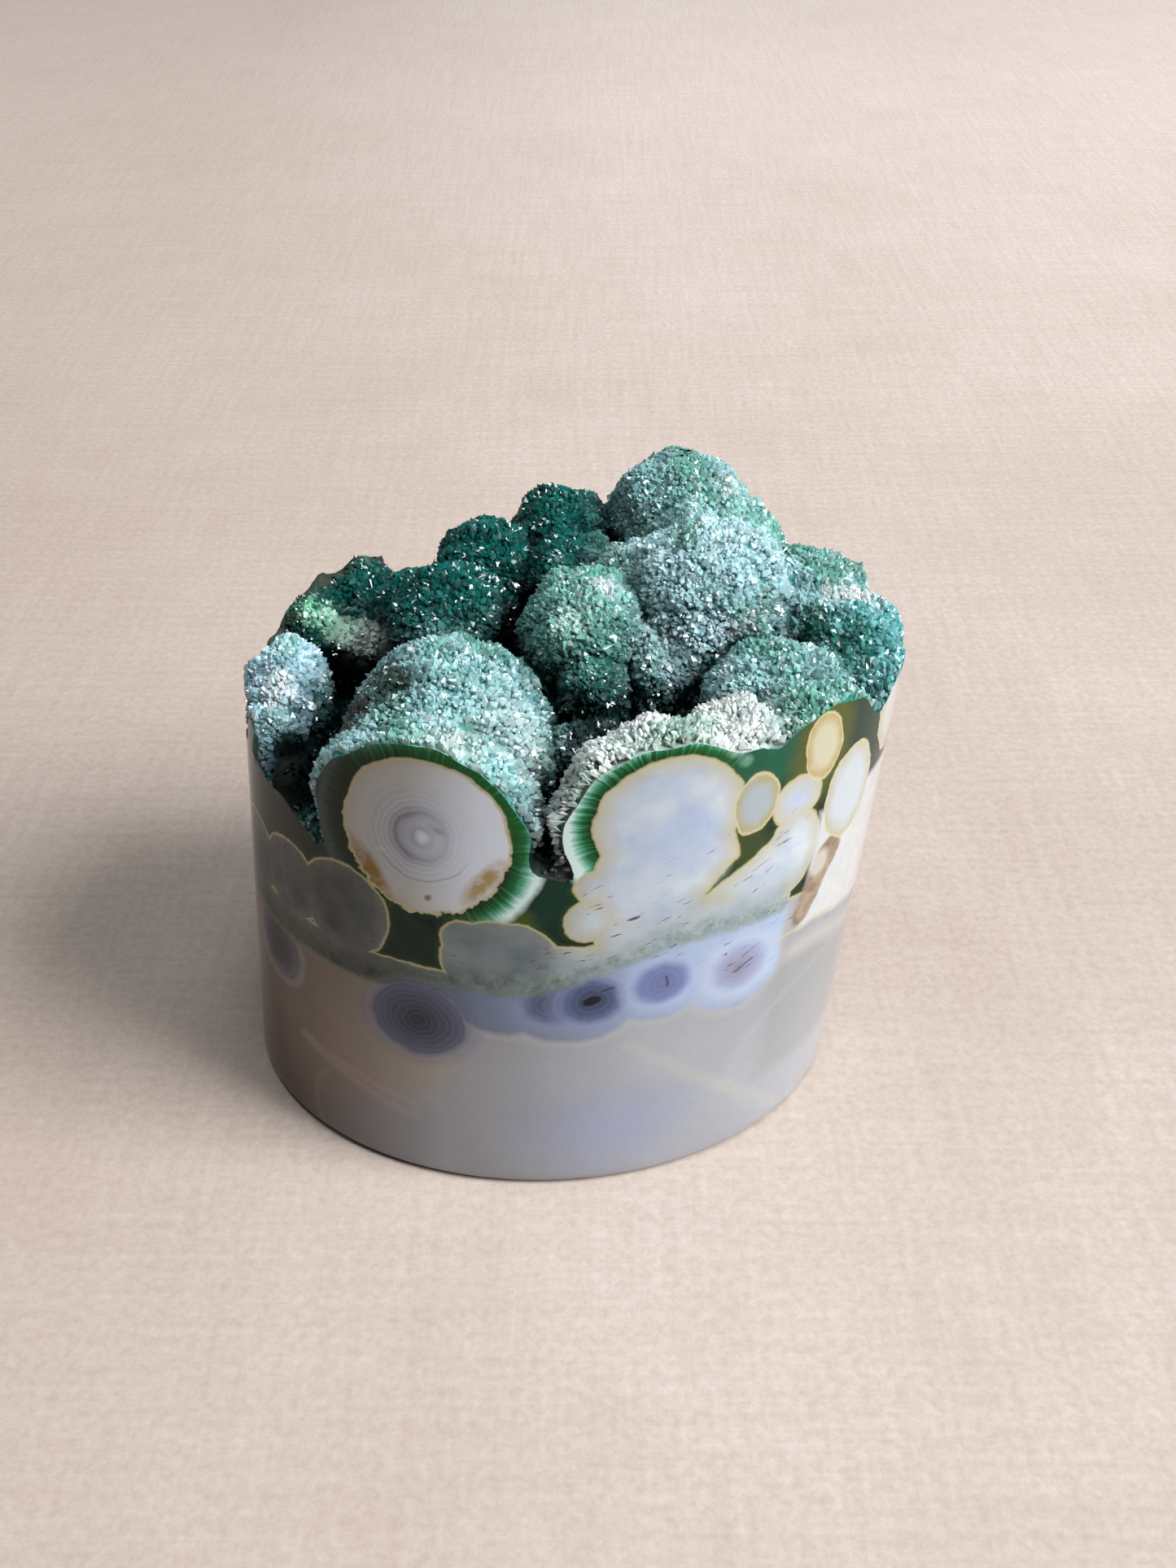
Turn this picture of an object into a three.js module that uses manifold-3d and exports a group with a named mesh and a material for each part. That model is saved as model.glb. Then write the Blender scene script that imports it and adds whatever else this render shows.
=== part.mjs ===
// Ocean jasper freeform: an upright oval block of banded stone, polished all round,
// whose top is left as it grew, a cluster of round lumps under a crust of quartz points.
// Units are millimetres, +Z is up, and -Y is the side with the big ringed orb.
// The origin is on the flat base, in the middle of the part's box.

import * as THREE from 'three';
import { mergeVertices } from 'three/addons/utils/BufferGeometryUtils.js';
import Module from 'manifold-3d';

const wasm = await Module();
wasm.setup();

// Polished wall
const BODY_WIDTH = 68.3;
const BODY_DEPTH = 54.6;
const LEAN = 0.074;
const BASE_X = -2.05;
const BASE_EDGE = 1.2;
const WALL_SIDES = 64;
const EDGE_STEPS = 3;
const WALL_TOP = 80;

// Heights of the crevices' floor and of the roots that the lumps stand on
const FLOOR = 41.5;
const ROOT = 35;

// Crystal crust: its thickness, the gap under it, and the width and height of its points
const CRUST = 1.8;
const GAP = 0.3;
const CRYSTAL = 3.6;
const CRYSTAL_RISE = 1.1;
const RISE_SPREAD = 0.5;
const POINTED_SHARE = 0.5;
const LEAST_UPWARD = 0.25;
const UNEVENNESS = 0.045;

// The stone under the crust: its facets, and the least mean radius of a lump that it fills
const FACET = 5.8;
const SMALLEST_CORE = 7;

// The edge of an icosahedron whose corners are 1 from its middle
const ICOSAHEDRON_EDGE = 1.05;

// Lumps of the druzy top: the middle and the three radii of each one, over its crystals.
const LUMPS = [
  // The big lobe over the ringed orb, which runs back from the front wall
  { at: [-11.6, -23.5, 46.0], radii: [11.4, 10.0, 11.4] },
  { at: [-15.0, -20.0, 46.5], radii: [8.6, 8.0, 9.0] },
  { at: [-10.8, -15.5, 47.0], radii: [11.0, 11.5, 11.2] },
  { at: [-10.4, -8.5, 46.4], radii: [10.6, 10.6, 10.6] },
  // The pale lobes at the left
  { at: [-27.8, -3.0, 48.2], radii: [4.6, 6.4, 6.0] },
  { at: [-28.4, -7.6, 47.0], radii: [3.6, 4.0, 4.0] },
  { at: [-28.5, -14.5, 39.5], radii: [6.5, 9.0, 5.0] },
  // The tooth at the left back, cut to a point by the wall
  { at: [-26.8, 12.0, 47.2], radii: [5.0, 5.4, 4.6] },
  { at: [-22.6, 16.6, 48.0], radii: [4.8, 4.6, 4.6] },
  { at: [-22.8, 10.6, 45.9], radii: [5.2, 4.8, 4.4] },
  { at: [-20.4, 13.8, 47.0], radii: [2.7, 6.2, 4.8] },
  { at: [-20.8, 18.6, 48.4], radii: [2.6, 3.4, 3.9] },
  // The deep green lobes behind the big one
  { at: [-11.0, 5.0, 51.9], radii: [6.8, 6.6, 6.6] },
  { at: [-15.6, 9.0, 51.9], radii: [3.6, 4.6, 4.2] },
  { at: [-7.6, 14.0, 53.7], radii: [5.9, 6.5, 5.6] },
  { at: [0.7, 19.0, 55.1], radii: [5.9, 6.0, 5.6] },
  { at: [1.4, 12.0, 53.6], radii: [5.4, 5.6, 5.4] },
  // The highest lobe, at the back
  { at: [13.6, 17.3, 58.6], radii: [7.9, 7.5, 7.7] },
  // The frosty mass in the middle
  { at: [15.9, 4.0, 55.1], radii: [9.4, 9.4, 9.4] },
  { at: [16.6, 10.5, 56.5], radii: [8.3, 8.3, 7.6] },
  { at: [10.2, 6.0, 54.3], radii: [7.0, 7.4, 6.8] },
  { at: [3.4, 0.0, 53.9], radii: [7.0, 7.0, 6.8] },
  { at: [3.9, -4.5, 50.9], radii: [4.4, 4.4, 4.6] },
  { at: [11.3, -2.0, 51.4], radii: [5.4, 5.4, 5.0] },
  // The lobes along the right side
  { at: [26.7, 6.8, 52.2], radii: [7.2, 8.2, 7.0] },
  { at: [31.0, 0.5, 51.2], radii: [6.4, 7.0, 6.2] },
  { at: [22.6, -9.5, 51.3], radii: [8.0, 6.8, 6.3] },
  // The white mass in the front wall, right of the crevice
  { at: [10.9, -25.0, 47.9], radii: [11.0, 8.5, 10.8] },
  { at: [17.2, -20.5, 52.8], radii: [5.6, 6.0, 5.2] },
  { at: [25.5, -18.0, 50.0], radii: [8.5, 8.0, 8.2] },
  { at: [33.2, -7.0, 47.2], radii: [8.2, 8.2, 8.2] },
  // Small lobes down in the crevice
  { at: [4.0, -12.5, 45.8], radii: [5.6, 4.8, 4.8] },
  // Lobes of the back, which close the gaps above the back wall
  { at: [-9.0, 21.5, 46.0], radii: [6.5, 6.5, 6.0] },
  { at: [3.0, 24.0, 48.0], radii: [6.5, 5.5, 6.5] },
  { at: [14.5, 23.5, 50.0], radii: [7.5, 5.5, 6.5] },
  { at: [26.0, 16.0, 47.5], radii: [8.5, 7.5, 7.0] },
];

// The rock between the lumps: where it stands higher than the floor of the crevices.
const ROCK = [
  { at: [15.0, 8.0, 42.0], radii: [15.5, 13.0, 12.0] },
  { at: [-3.0, 14.0, 43.0], radii: [11.0, 9.0, 9.0] },
  { at: [28.0, 3.0, 42.0], radii: [10.0, 13.0, 11.0] },
  { at: [20.0, -20.0, 42.0], radii: [9.0, 9.0, 13.0] },
  { at: [29.0, -12.0, 42.0], radii: [8.0, 9.0, 12.0] },
  { at: [-24.5, 15.5, 40.0], radii: [7.5, 6.5, 8.0] },
  { at: [-28.0, -5.0, 39.0], radii: [7.0, 12.0, 8.0] },
  { at: [-0.5, -25.5, 38.0], radii: [7.0, 5.0, 6.5] },
  { at: [-8.0, 23.5, 42.0], radii: [9.5, 6.5, 7.5] },
  { at: [8.0, 24.5, 43.0], radii: [10.0, 7.0, 9.5] },
  { at: [23.0, 18.5, 43.0], radii: [10.0, 8.0, 9.0] },
];

const STONE_GREY = new THREE.Color(0.52, 0.52, 0.48);
const CRYSTAL_GREEN = new THREE.Color(0.30, 0.45, 0.41);

// A seeded generator, so that the crystals come out alike on every run.
function randomSource(seed) {
  let state = seed;
  return () => {
    state = (state + 0x6d2b79f5) | 0;
    let mixed = Math.imul(state ^ (state >>> 15), 1 | state);
    mixed = (mixed + Math.imul(mixed ^ (mixed >>> 7), 61 | mixed)) ^ mixed;
    return ((mixed ^ (mixed >>> 14)) >>> 0) / 4294967296;
  };
}

// A closed triangle mesh, as a solid that can be joined and cut.
function solidOf(geometry) {
  const bare = geometry.clone();
  bare.deleteAttribute('normal');
  bare.deleteAttribute('uv');
  const merged = mergeVertices(bare, 1e-4);
  const index = merged.index.array;
  const triangles = [];
  for (let i = 0; i < index.length; i += 3) {
    const [a, b, c] = [index[i], index[i + 1], index[i + 2]];
    if (a !== b && b !== c && c !== a) triangles.push(a, b, c);
  }
  return new wasm.Manifold(new wasm.Mesh({
    numProp: 3,
    vertProperties: new Float32Array(merged.attributes.position.array),
    triVerts: new Uint32Array(triangles),
  }));
}

function geometryOf(solid) {
  const mesh = solid.getMesh();
  const geometry = new THREE.BufferGeometry();
  geometry.setAttribute('position', new THREE.BufferAttribute(mesh.vertProperties, 3));
  geometry.setIndex(new THREE.BufferAttribute(mesh.triVerts, 1));
  geometry.computeVertexNormals();
  return geometry;
}

function joined(solids) {
  return solids.reduce((all, next) => all.add(next));
}

// The polished wall as an oval column: a turned profile of radius 1 and a rounded foot,
// stretched to the oval and sheared to lean the way the block does.
function wallColumn() {
  const profile = [new THREE.Vector2(0, 0)];
  const inset = BASE_EDGE / ((BODY_WIDTH + BODY_DEPTH) / 4);
  for (let step = 0; step <= EDGE_STEPS; step += 1) {
    const angle = (step / EDGE_STEPS) * (Math.PI / 2);
    profile.push(new THREE.Vector2(
      1 - inset + inset * Math.sin(angle),
      BASE_EDGE * (1 - Math.cos(angle)),
    ));
  }
  profile.push(new THREE.Vector2(1, WALL_TOP), new THREE.Vector2(0, WALL_TOP));
  const column = new THREE.LatheGeometry(profile, WALL_SIDES);
  column.rotateX(Math.PI / 2);
  column.scale(BODY_WIDTH / 2, BODY_DEPTH / 2, 1);
  const shear = new THREE.Matrix4().set(
    1, 0, LEAN, BASE_X,
    0, 1, 0, 0,
    0, 0, 1, 0,
    0, 0, 0, 1,
  );
  column.applyMatrix4(shear);
  return solidOf(column);
}

function meanRadius(radii) {
  return Math.cbrt(radii[0] * radii[1] * radii[2]);
}

// One lump, drawn in by some depth, as a faceted ball with edges of about the given length.
// It is turned by its own place, so that no two lumps show the same facets, and its lower
// half is drawn down into a root in the rock, so that every lump grows from the block.
function lumpGeometry(lump, drawnIn, edge) {
  const radii = lump.radii.map((radius) => radius - drawnIn);
  const [x, y, z] = lump.at;
  const facesPerEdge = Math.round((ICOSAHEDRON_EDGE * meanRadius(lump.radii)) / edge);
  const ball = new THREE.IcosahedronGeometry(1, Math.max(1, facesPerEdge - 1));
  ball.rotateX(x);
  ball.rotateY(y);
  const place = ball.attributes.position;
  for (let i = 0; i < place.count; i += 1) {
    const up = place.getZ(i);
    const reach = up > 0 ? radii[2] : Math.max(radii[2], z - ROOT);
    place.setXYZ(i, x + radii[0] * place.getX(i), y + radii[1] * place.getY(i), z + reach * up);
  }
  return ball;
}

// Gentle swells and dips, so that no lump stays an even ball.
function uneven(geometry, lump) {
  const place = geometry.attributes.position;
  const middle = new THREE.Vector3(...lump.at);
  const point = new THREE.Vector3();
  for (let i = 0; i < place.count; i += 1) {
    point.fromBufferAttribute(place, i);
    const swell = Math.sin(0.9 * point.x + 0.5 * point.z) * Math.sin(0.8 * point.y - 0.6 * point.z);
    point.sub(middle).multiplyScalar(1 + UNEVENNESS * swell).add(middle);
    place.setXYZ(i, ...point);
  }
  return geometry;
}

// Most of the faces that look up far enough become three-sided crystal points.
function withCrystals(geometry, random) {
  const place = geometry.attributes.position;
  const corners = [new THREE.Vector3(), new THREE.Vector3(), new THREE.Vector3()];
  const triangles = [];
  for (let face = 0; face < place.count; face += 3) {
    corners.forEach((corner, i) => corner.fromBufferAttribute(place, face + i));
    const [a, b, c] = corners;
    const normal = b.clone().sub(a).cross(c.clone().sub(a)).normalize();
    if (normal.z < LEAST_UPWARD || random() > POINTED_SHARE) {
      triangles.push(...a, ...b, ...c);
      continue;
    }
    const weights = [1 + random(), 1 + random(), 1 + random()];
    const total = weights[0] + weights[1] + weights[2];
    const rise = CRYSTAL_RISE * (1 + RISE_SPREAD * (2 * random() - 1));
    const tip = new THREE.Vector3()
      .addScaledVector(a, weights[0] / total)
      .addScaledVector(b, weights[1] / total)
      .addScaledVector(c, weights[2] / total)
      .addScaledVector(normal, rise);
    triangles.push(...a, ...b, ...tip, ...b, ...c, ...tip, ...c, ...a, ...tip);
  }
  const pointed = new THREE.BufferGeometry();
  pointed.setAttribute('position', new THREE.BufferAttribute(new Float32Array(triangles), 3));
  return pointed;
}

// The rock under the lumps, up to the floor of the crevices, wider than the wall.
function floorGeometry(height) {
  const below = 10;
  const slab = new THREE.BoxGeometry(BODY_WIDTH * 1.2, BODY_DEPTH * 1.2, height + below);
  slab.translate(0, 0, (height - below) / 2);
  return slab;
}

// The floor, the rock and the main lumps, all drawn in by some depth: the stone under the crust.
function stoneMass(drawnIn) {
  const mainLumps = LUMPS.filter((lump) => meanRadius(lump.radii) > SMALLEST_CORE);
  const balls = [...ROCK, ...mainLumps].map((lump) => lumpGeometry(lump, drawnIn, FACET));
  return joined([floorGeometry(FLOOR - drawnIn), ...balls].map(solidOf));
}

// Everything up to the crystal points, which start half their height below the lumps' radii.
function crystalMass() {
  const random = randomSource(11);
  const foot = CRYSTAL_RISE / 2;
  const rock = ROCK.map((lump) => lumpGeometry(lump, foot, FACET));
  const lumps = LUMPS.map((lump) => {
    const ball = uneven(lumpGeometry(lump, foot, CRYSTAL), lump);
    return withCrystals(ball, random);
  });
  return joined([floorGeometry(FLOOR - foot), ...rock, ...lumps].map(solidOf));
}

// The largest connected skin of a solid: pockets sealed in between lumps are left solid.
function outerSkin(geometry) {
  const index = geometry.index.array;
  const leader = Array.from({ length: geometry.attributes.position.count }, (_, i) => i);
  const leaderOf = (vertex) => {
    let at = vertex;
    while (leader[at] !== at) {
      leader[at] = leader[leader[at]];
      at = leader[at];
    }
    return at;
  };
  for (let i = 0; i < index.length; i += 3) {
    leader[leaderOf(index[i + 1])] = leaderOf(index[i]);
    leader[leaderOf(index[i + 2])] = leaderOf(index[i]);
  }
  const skins = new Map();
  for (let i = 0; i < index.length; i += 3) {
    const skin = leaderOf(index[i]);
    if (!skins.has(skin)) skins.set(skin, []);
    skins.get(skin).push(index[i], index[i + 1], index[i + 2]);
  }
  const largest = [...skins.values()].reduce((best, skin) => (skin.length > best.length ? skin : best));
  geometry.setIndex(largest);
  return geometry;
}

function namedMesh(name, solid, color, roughness) {
  const material = new THREE.MeshStandardMaterial({ color, roughness, metalness: 0 });
  const mesh = new THREE.Mesh(outerSkin(geometryOf(solid)), material);
  mesh.name = name;
  return mesh;
}

const wall = wallColumn();
const stone = stoneMass(CRUST + GAP).intersect(wall);
const crust = crystalMass().subtract(stoneMass(CRUST)).intersect(wall);

const group = new THREE.Group();
group.add(
  namedMesh('polished_jasper', stone, STONE_GREY, 0.15),
  namedMesh('druzy_crust', crust, CRYSTAL_GREEN, 0.2),
);

export default group;
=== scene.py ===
# %% [markdown]
# An ocean jasper freeform is a palm-size block of banded chalcedony, cut flat below and polished all
# round, whose top keeps the natural hollow of the stone: round lobes covered in tiny quartz points.
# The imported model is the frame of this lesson. It gives the block its place and its outer box, and
# every piece made below is set into it in the same coordinates, in metres.

# %% Load the frame
import math
from functools import reduce

import bmesh
import bpy
import numpy as np
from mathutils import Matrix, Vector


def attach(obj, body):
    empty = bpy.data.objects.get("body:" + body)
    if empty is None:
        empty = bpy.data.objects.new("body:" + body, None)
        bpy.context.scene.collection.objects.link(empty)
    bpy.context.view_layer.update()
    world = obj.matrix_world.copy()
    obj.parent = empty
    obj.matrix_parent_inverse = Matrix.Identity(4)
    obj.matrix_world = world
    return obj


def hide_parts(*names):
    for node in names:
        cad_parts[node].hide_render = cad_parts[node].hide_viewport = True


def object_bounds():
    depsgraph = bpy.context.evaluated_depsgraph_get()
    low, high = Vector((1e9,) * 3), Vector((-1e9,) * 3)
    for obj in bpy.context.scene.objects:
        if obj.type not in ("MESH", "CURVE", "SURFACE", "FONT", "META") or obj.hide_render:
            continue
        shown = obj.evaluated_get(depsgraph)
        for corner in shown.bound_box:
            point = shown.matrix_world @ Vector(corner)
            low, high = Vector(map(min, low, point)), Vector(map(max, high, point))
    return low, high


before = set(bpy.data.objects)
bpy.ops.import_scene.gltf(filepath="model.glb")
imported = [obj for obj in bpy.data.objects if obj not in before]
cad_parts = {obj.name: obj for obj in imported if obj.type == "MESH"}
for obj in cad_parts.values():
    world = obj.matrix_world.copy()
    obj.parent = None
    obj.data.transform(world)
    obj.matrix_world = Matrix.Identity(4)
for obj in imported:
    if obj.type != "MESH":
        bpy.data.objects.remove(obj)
cad_box = [[float(v) for v in corner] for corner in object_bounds()]
MM = 0.001
print("frame nodes:", sorted(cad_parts))
print("frame box in mm:", np.round(np.array(cad_box) / MM, 2).tolist())

# %% [markdown]
# The photograph was taken by hand from above the stone's front, close enough for strong perspective.
# The view was worked out once from the block's own edges: the lens is 2000 photograph pixels long, and
# it looks down by 36 degrees. Fitting the sensor to the picture's height keeps that lens whatever the
# size of the render is.

# %% Camera
PHOTO_HEIGHT = 1927
FOCAL_PIXELS = 2000
SENSOR_HEIGHT = 36.0
LOOKS_DOWN = 36.0
scene = bpy.context.scene


def add_object(name, data):
    thing = bpy.data.objects.new(name, data)
    scene.collection.objects.link(thing)
    return thing


camera_data = bpy.data.cameras.new("camera")
camera_data.sensor_fit = "VERTICAL"
camera_data.sensor_height = SENSOR_HEIGHT
camera_data.lens = SENSOR_HEIGHT * FOCAL_PIXELS / PHOTO_HEIGHT
camera_data.clip_start = 0.01
camera = add_object("camera", camera_data)
camera.location = (3.45 * MM, -145.9 * MM, 140.5 * MM)
camera.rotation_euler = (math.radians(90 - LOOKS_DOWN), 0, 0)
scene.camera = camera
print("lens in mm:", round(camera_data.lens, 2))

# %% [markdown]
# Light and colours come next, because every finish is judged under them. The photograph has one large
# soft light at the right, a little in front of the stone, and pale surroundings. A big area light
# gives the same soft shadow on the left, and a second one above the camera keeps the board in front
# of the stone as bright as the rest. A small bright light matters for crystals, whose faces only
# sparkle where they mirror something brighter than the rest. The plain view transform keeps the
# greens as saturated as they are.

# %% Lights
LIGHT_TARGET = np.array((0, 0, 0.035))


def area_light(name, place, size, power, colour):
    """A rectangular light that faces the middle of the stone."""
    data = bpy.data.lights.new(name, "AREA")
    data.shape = "RECTANGLE"
    data.size, data.size_y = size
    data.energy = power
    data.color = colour
    light = add_object(name, data)
    light.location = place
    aim = LIGHT_TARGET - place
    pitch = math.atan2(math.hypot(aim[0], aim[1]), -aim[2])
    light.rotation_euler = (pitch, 0, math.atan2(-aim[0], aim[1]))


area_light("window", (1.96, -0.74, 1.70), (1.2, 1.6), 145.0, (0.99, 0.99, 1.0))
area_light("sky_light", (0.30, -0.40, 2.70), (1.1, 0.8), 30.0, (0.96, 0.98, 1.0))
area_light("sparkle", (-0.20, 0.05, 0.50), (0.03, 0.03), 0.12, (1.0, 1.0, 1.0))

world = bpy.data.worlds.new("studio")
world.use_nodes = True
background = world.node_tree.nodes["Background"].inputs
background["Color"].default_value = (0.86, 0.93, 1.0, 1)
background["Strength"].default_value = 0.12
scene.world = world
scene.view_settings.view_transform = "Standard"
print("lights:", len(bpy.data.lights))

# %% [markdown]
# Shader maths reads best as plain expressions. A Value wraps one socket of numbers, and Python's
# operators on it add Math nodes. Colours are given as a paint chart gives them, from 0 to 255, and
# turned into the linear light that the renderer uses.

# %% Values and colours
class Value:
    def __init__(self, graph, socket):
        self.graph = graph
        self.socket = socket

    def __add__(self, other):
        return self.graph.math("ADD", self, other)

    def __sub__(self, other):
        return self.graph.math("SUBTRACT", self, other)

    def __rsub__(self, other):
        return self.graph.math("SUBTRACT", other, self)

    def __mul__(self, other):
        return self.graph.math("MULTIPLY", self, other)

    def __truediv__(self, other):
        return self.graph.math("DIVIDE", self, other)

    def __neg__(self):
        return self * -1.0

    __radd__ = __add__
    __rmul__ = __mul__


def linear(levels):
    """A paint chart's three levels as the renderer's red, green and blue."""
    shares = (level / 255 for level in levels)
    return np.array([s / 12.92 if s <= 0.04045 else ((s + 0.055) / 1.055) ** 2.4 for s in shares])


def opaque(colour):
    """What a colour socket takes: a link as it is, and a paint chart's levels as four numbers."""
    return (*linear(colour).tolist(), 1.0) if isinstance(colour, tuple) else colour


print("middle grey in the renderer's light:", round(opaque((128, 128, 128))[0], 3))

# %% [markdown]
# A Graph is one material. It adds every node through one method, which takes the node's type, its
# settings, which are set first, and what goes into its sockets. The other methods are short names for
# what every finish here needs: noise, mixes of tints, and soft edges and outlines.

# %% Graph of nodes
class Graph:
    """A new material. Its noises are read at solid, a point of the object in millimetres."""

    def __init__(self, name):
        self.material = bpy.data.materials.new(name)
        self.material.use_nodes = True
        self.tree = self.material.node_tree
        self.tree.nodes.clear()
        place = self.add("TexCoord").outputs["Object"]
        scale = (1 / MM, 1 / MM, 1 / MM)
        self.solid = self.add("Mapping", {}, {"Vector": place, "Scale": scale}).outputs[0]

    def add(self, kind, settings=None, sockets=None):
        node = self.tree.nodes.new("ShaderNode" + kind)
        for name, value in (settings or {}).items():
            if name == "stops":
                self.set_stops(node.color_ramp, value)
            else:
                setattr(node, name, value)
        for name, value in (sockets or {}).items():
            given = value.socket if isinstance(value, Value) else value
            if isinstance(given, bpy.types.NodeSocket):
                self.tree.links.new(given, node.inputs[name])
            else:
                node.inputs[name].default_value = given
        return node

    def set_stops(self, ramp, stops):
        while len(ramp.elements) < len(stops):
            ramp.elements.new(1.0)
        for element, (place, colour) in zip(ramp.elements, stops):
            element.position = place
            element.color = opaque(colour)

    def math(self, operation, *values, clamp=False):
        settings = {"operation": operation, "use_clamp": clamp}
        return Value(self, self.add("Math", settings, dict(enumerate(values))).outputs[0])

    def vector(self, operation, *values):
        node = self.add("VectorMath", {"operation": operation}, dict(enumerate(values)))
        number = operation in ("LENGTH", "DOT_PRODUCT")
        return Value(self, node.outputs["Value"]) if number else node.outputs["Vector"]

    def apart(self, vector):
        """The X, Y and Z of a vector."""
        return [Value(self, output) for output in self.add("SeparateXYZ", {}, {0: vector}).outputs]

    def mix(self, share, first, second):
        sockets = {0: share, 6: opaque(first), 7: opaque(second)}
        return self.add("Mix", {"data_type": "RGBA"}, sockets).outputs[2]

    def ramp(self, share, stops):
        return self.add("ValToRGB", {"stops": stops}, {0: share}).outputs["Color"]

    def noise(self, scale, detail, roughness, place=None):
        place = place or self.solid
        sockets = {"Vector": place, "Scale": scale, "Detail": detail, "Roughness": roughness}
        return self.add("TexNoise", {}, sockets)

    def cloud(self, *noise):
        return Value(self, self.noise(*noise).outputs["Fac"])

    def mottle(self, scale, detail, roughness, low, high):
        """Patches of noise: 0 where it is under low, 1 where it is over high."""
        return self.rising(self.cloud(scale, detail, roughness), low, high)

    def smallest(self, *values):
        return reduce(lambda one, other: self.math("MINIMUM", one, other), values)

    def largest(self, *values):
        return reduce(lambda one, other: self.math("MAXIMUM", one, other), values)

    def rising(self, value, low, high):
        """0 below low, 1 above high and a straight slope between."""
        slope = 1.0 / (high - low)
        return self.math("MULTIPLY_ADD", value, slope, -low * slope, clamp=True)

    def within(self, distance, softness=0.12):
        """1 inside a shape and 0 outside it, over an edge as wide as softness."""
        return self.math("MULTIPLY_ADD", distance, -1.0 / softness, 0.5, clamp=True)

    def stroke(self, distance, width, softness=0.12):
        """1 along a shape's outline, as a line of that width."""
        return self.within(self.math("ABSOLUTE", distance) - width / 2, softness)

    def surface(self, shader):
        self.add("OutputMaterial", {}, {"Surface": shader.outputs[0]})
        return self.material

    def principled(self, sockets):
        return self.add("BsdfPrincipled", {}, sockets)


# %% [markdown]
# The stone stands on a pale board of warm beige. It is painted like canvas: brush marks run along it
# and across it, and a fine grain lies over both. Noise that is stretched one way gives each set of
# marks, a round one gives the grain, and a broad one makes the paint uneven. Painted light makes the
# board lighter towards the back, and painted shade darkens it towards the left.

# %% Floor
FLOOR_SIZE = 6.0
BRUSH_MARK = (140, 118, 102)


def board_paint():
    g = Graph("board_paint")
    broad = g.mottle(0.011, 5.0, 0.65, 0.35, 0.65)
    grain = g.mottle(0.9, 3.0, 0.75, 0.35, 0.7)
    x, y, unused = g.apart(g.solid)
    tone = g.mix(broad, (180, 166, 156), (192, 181, 173))
    # painted light: the board is lighter towards the back
    tone = g.mix(g.rising(y, 0.0, 450.0) * 0.6, tone, (236, 224, 216))
    # painted shade: the board is darker towards the left
    tone = g.mix(g.rising(x, 20.0, -120.0) * 0.35, tone, (150, 130, 116))
    for stretch in ((0.034, 0.7, 0.001), (0.7, 0.034, 0.001)):
        brush = g.cloud(1.0, 3.0, 0.65, g.vector("MULTIPLY", g.solid, stretch))
        tone = g.mix(g.rising(brush, 0.35, 0.7) * 0.14, tone, BRUSH_MARK)
    tone = g.mix(grain * 0.34, tone, (138, 118, 104))
    return g.surface(g.principled({"Base Color": tone, "Roughness": 0.62}))


half_floor = FLOOR_SIZE / 2
floor_corners = [(x * half_floor, y * half_floor, 0) for x, y in ((-1, -1), (1, -1), (1, 1), (-1, 1))]
floor_mesh = bpy.data.meshes.new("floor")
floor_mesh.from_pydata(floor_corners, [], [(0, 1, 2, 3)])
floor_mesh.materials.append(board_paint())
floor = add_object("floor", floor_mesh)
print("floor in metres:", FLOOR_SIZE)

# %% [markdown]
# The polished wall is an oval column that leans a little to the right as it rises. Its sizes in
# millimetres are the model's, so the wall made here lies on the frame's wall.

# %% Sizes of the wall
HALF_WIDTH = 34.15
HALF_DEPTH = 27.3
BASE_X = -2.05
LEAN = 0.074
BASE_EDGE = 1.2
WALL_TOP = 70.0
FLOOR_LEVEL = 41.5
ROOT_LEVEL = 35.0


def off_axis(points):
    """How far points stand from the column's axis, as a share of the way to its wall."""
    across = (points[:, 0] - BASE_X - LEAN * points[:, 2]) / HALF_WIDTH
    return np.hypot(across, points[:, 1] / HALF_DEPTH)


print("width and depth of the wall in mm:", 2 * HALF_WIDTH, 2 * HALF_DEPTH)

# %% [markdown]
# Inside the hollow, chalcedony grew as round lobes that run into one another. Each is written down as
# an egg: its centre, its three radii over the crystals, and the name of the look that its crystals
# have. From its middle down an egg is drawn out to a root below the hollow's floor, because a lobe
# grows up from the rock and has no underside that hangs free. Plainer lumps of rock fill the space
# between and behind the lobes, and a row of thin ones makes the bare rim at the left back.

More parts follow.
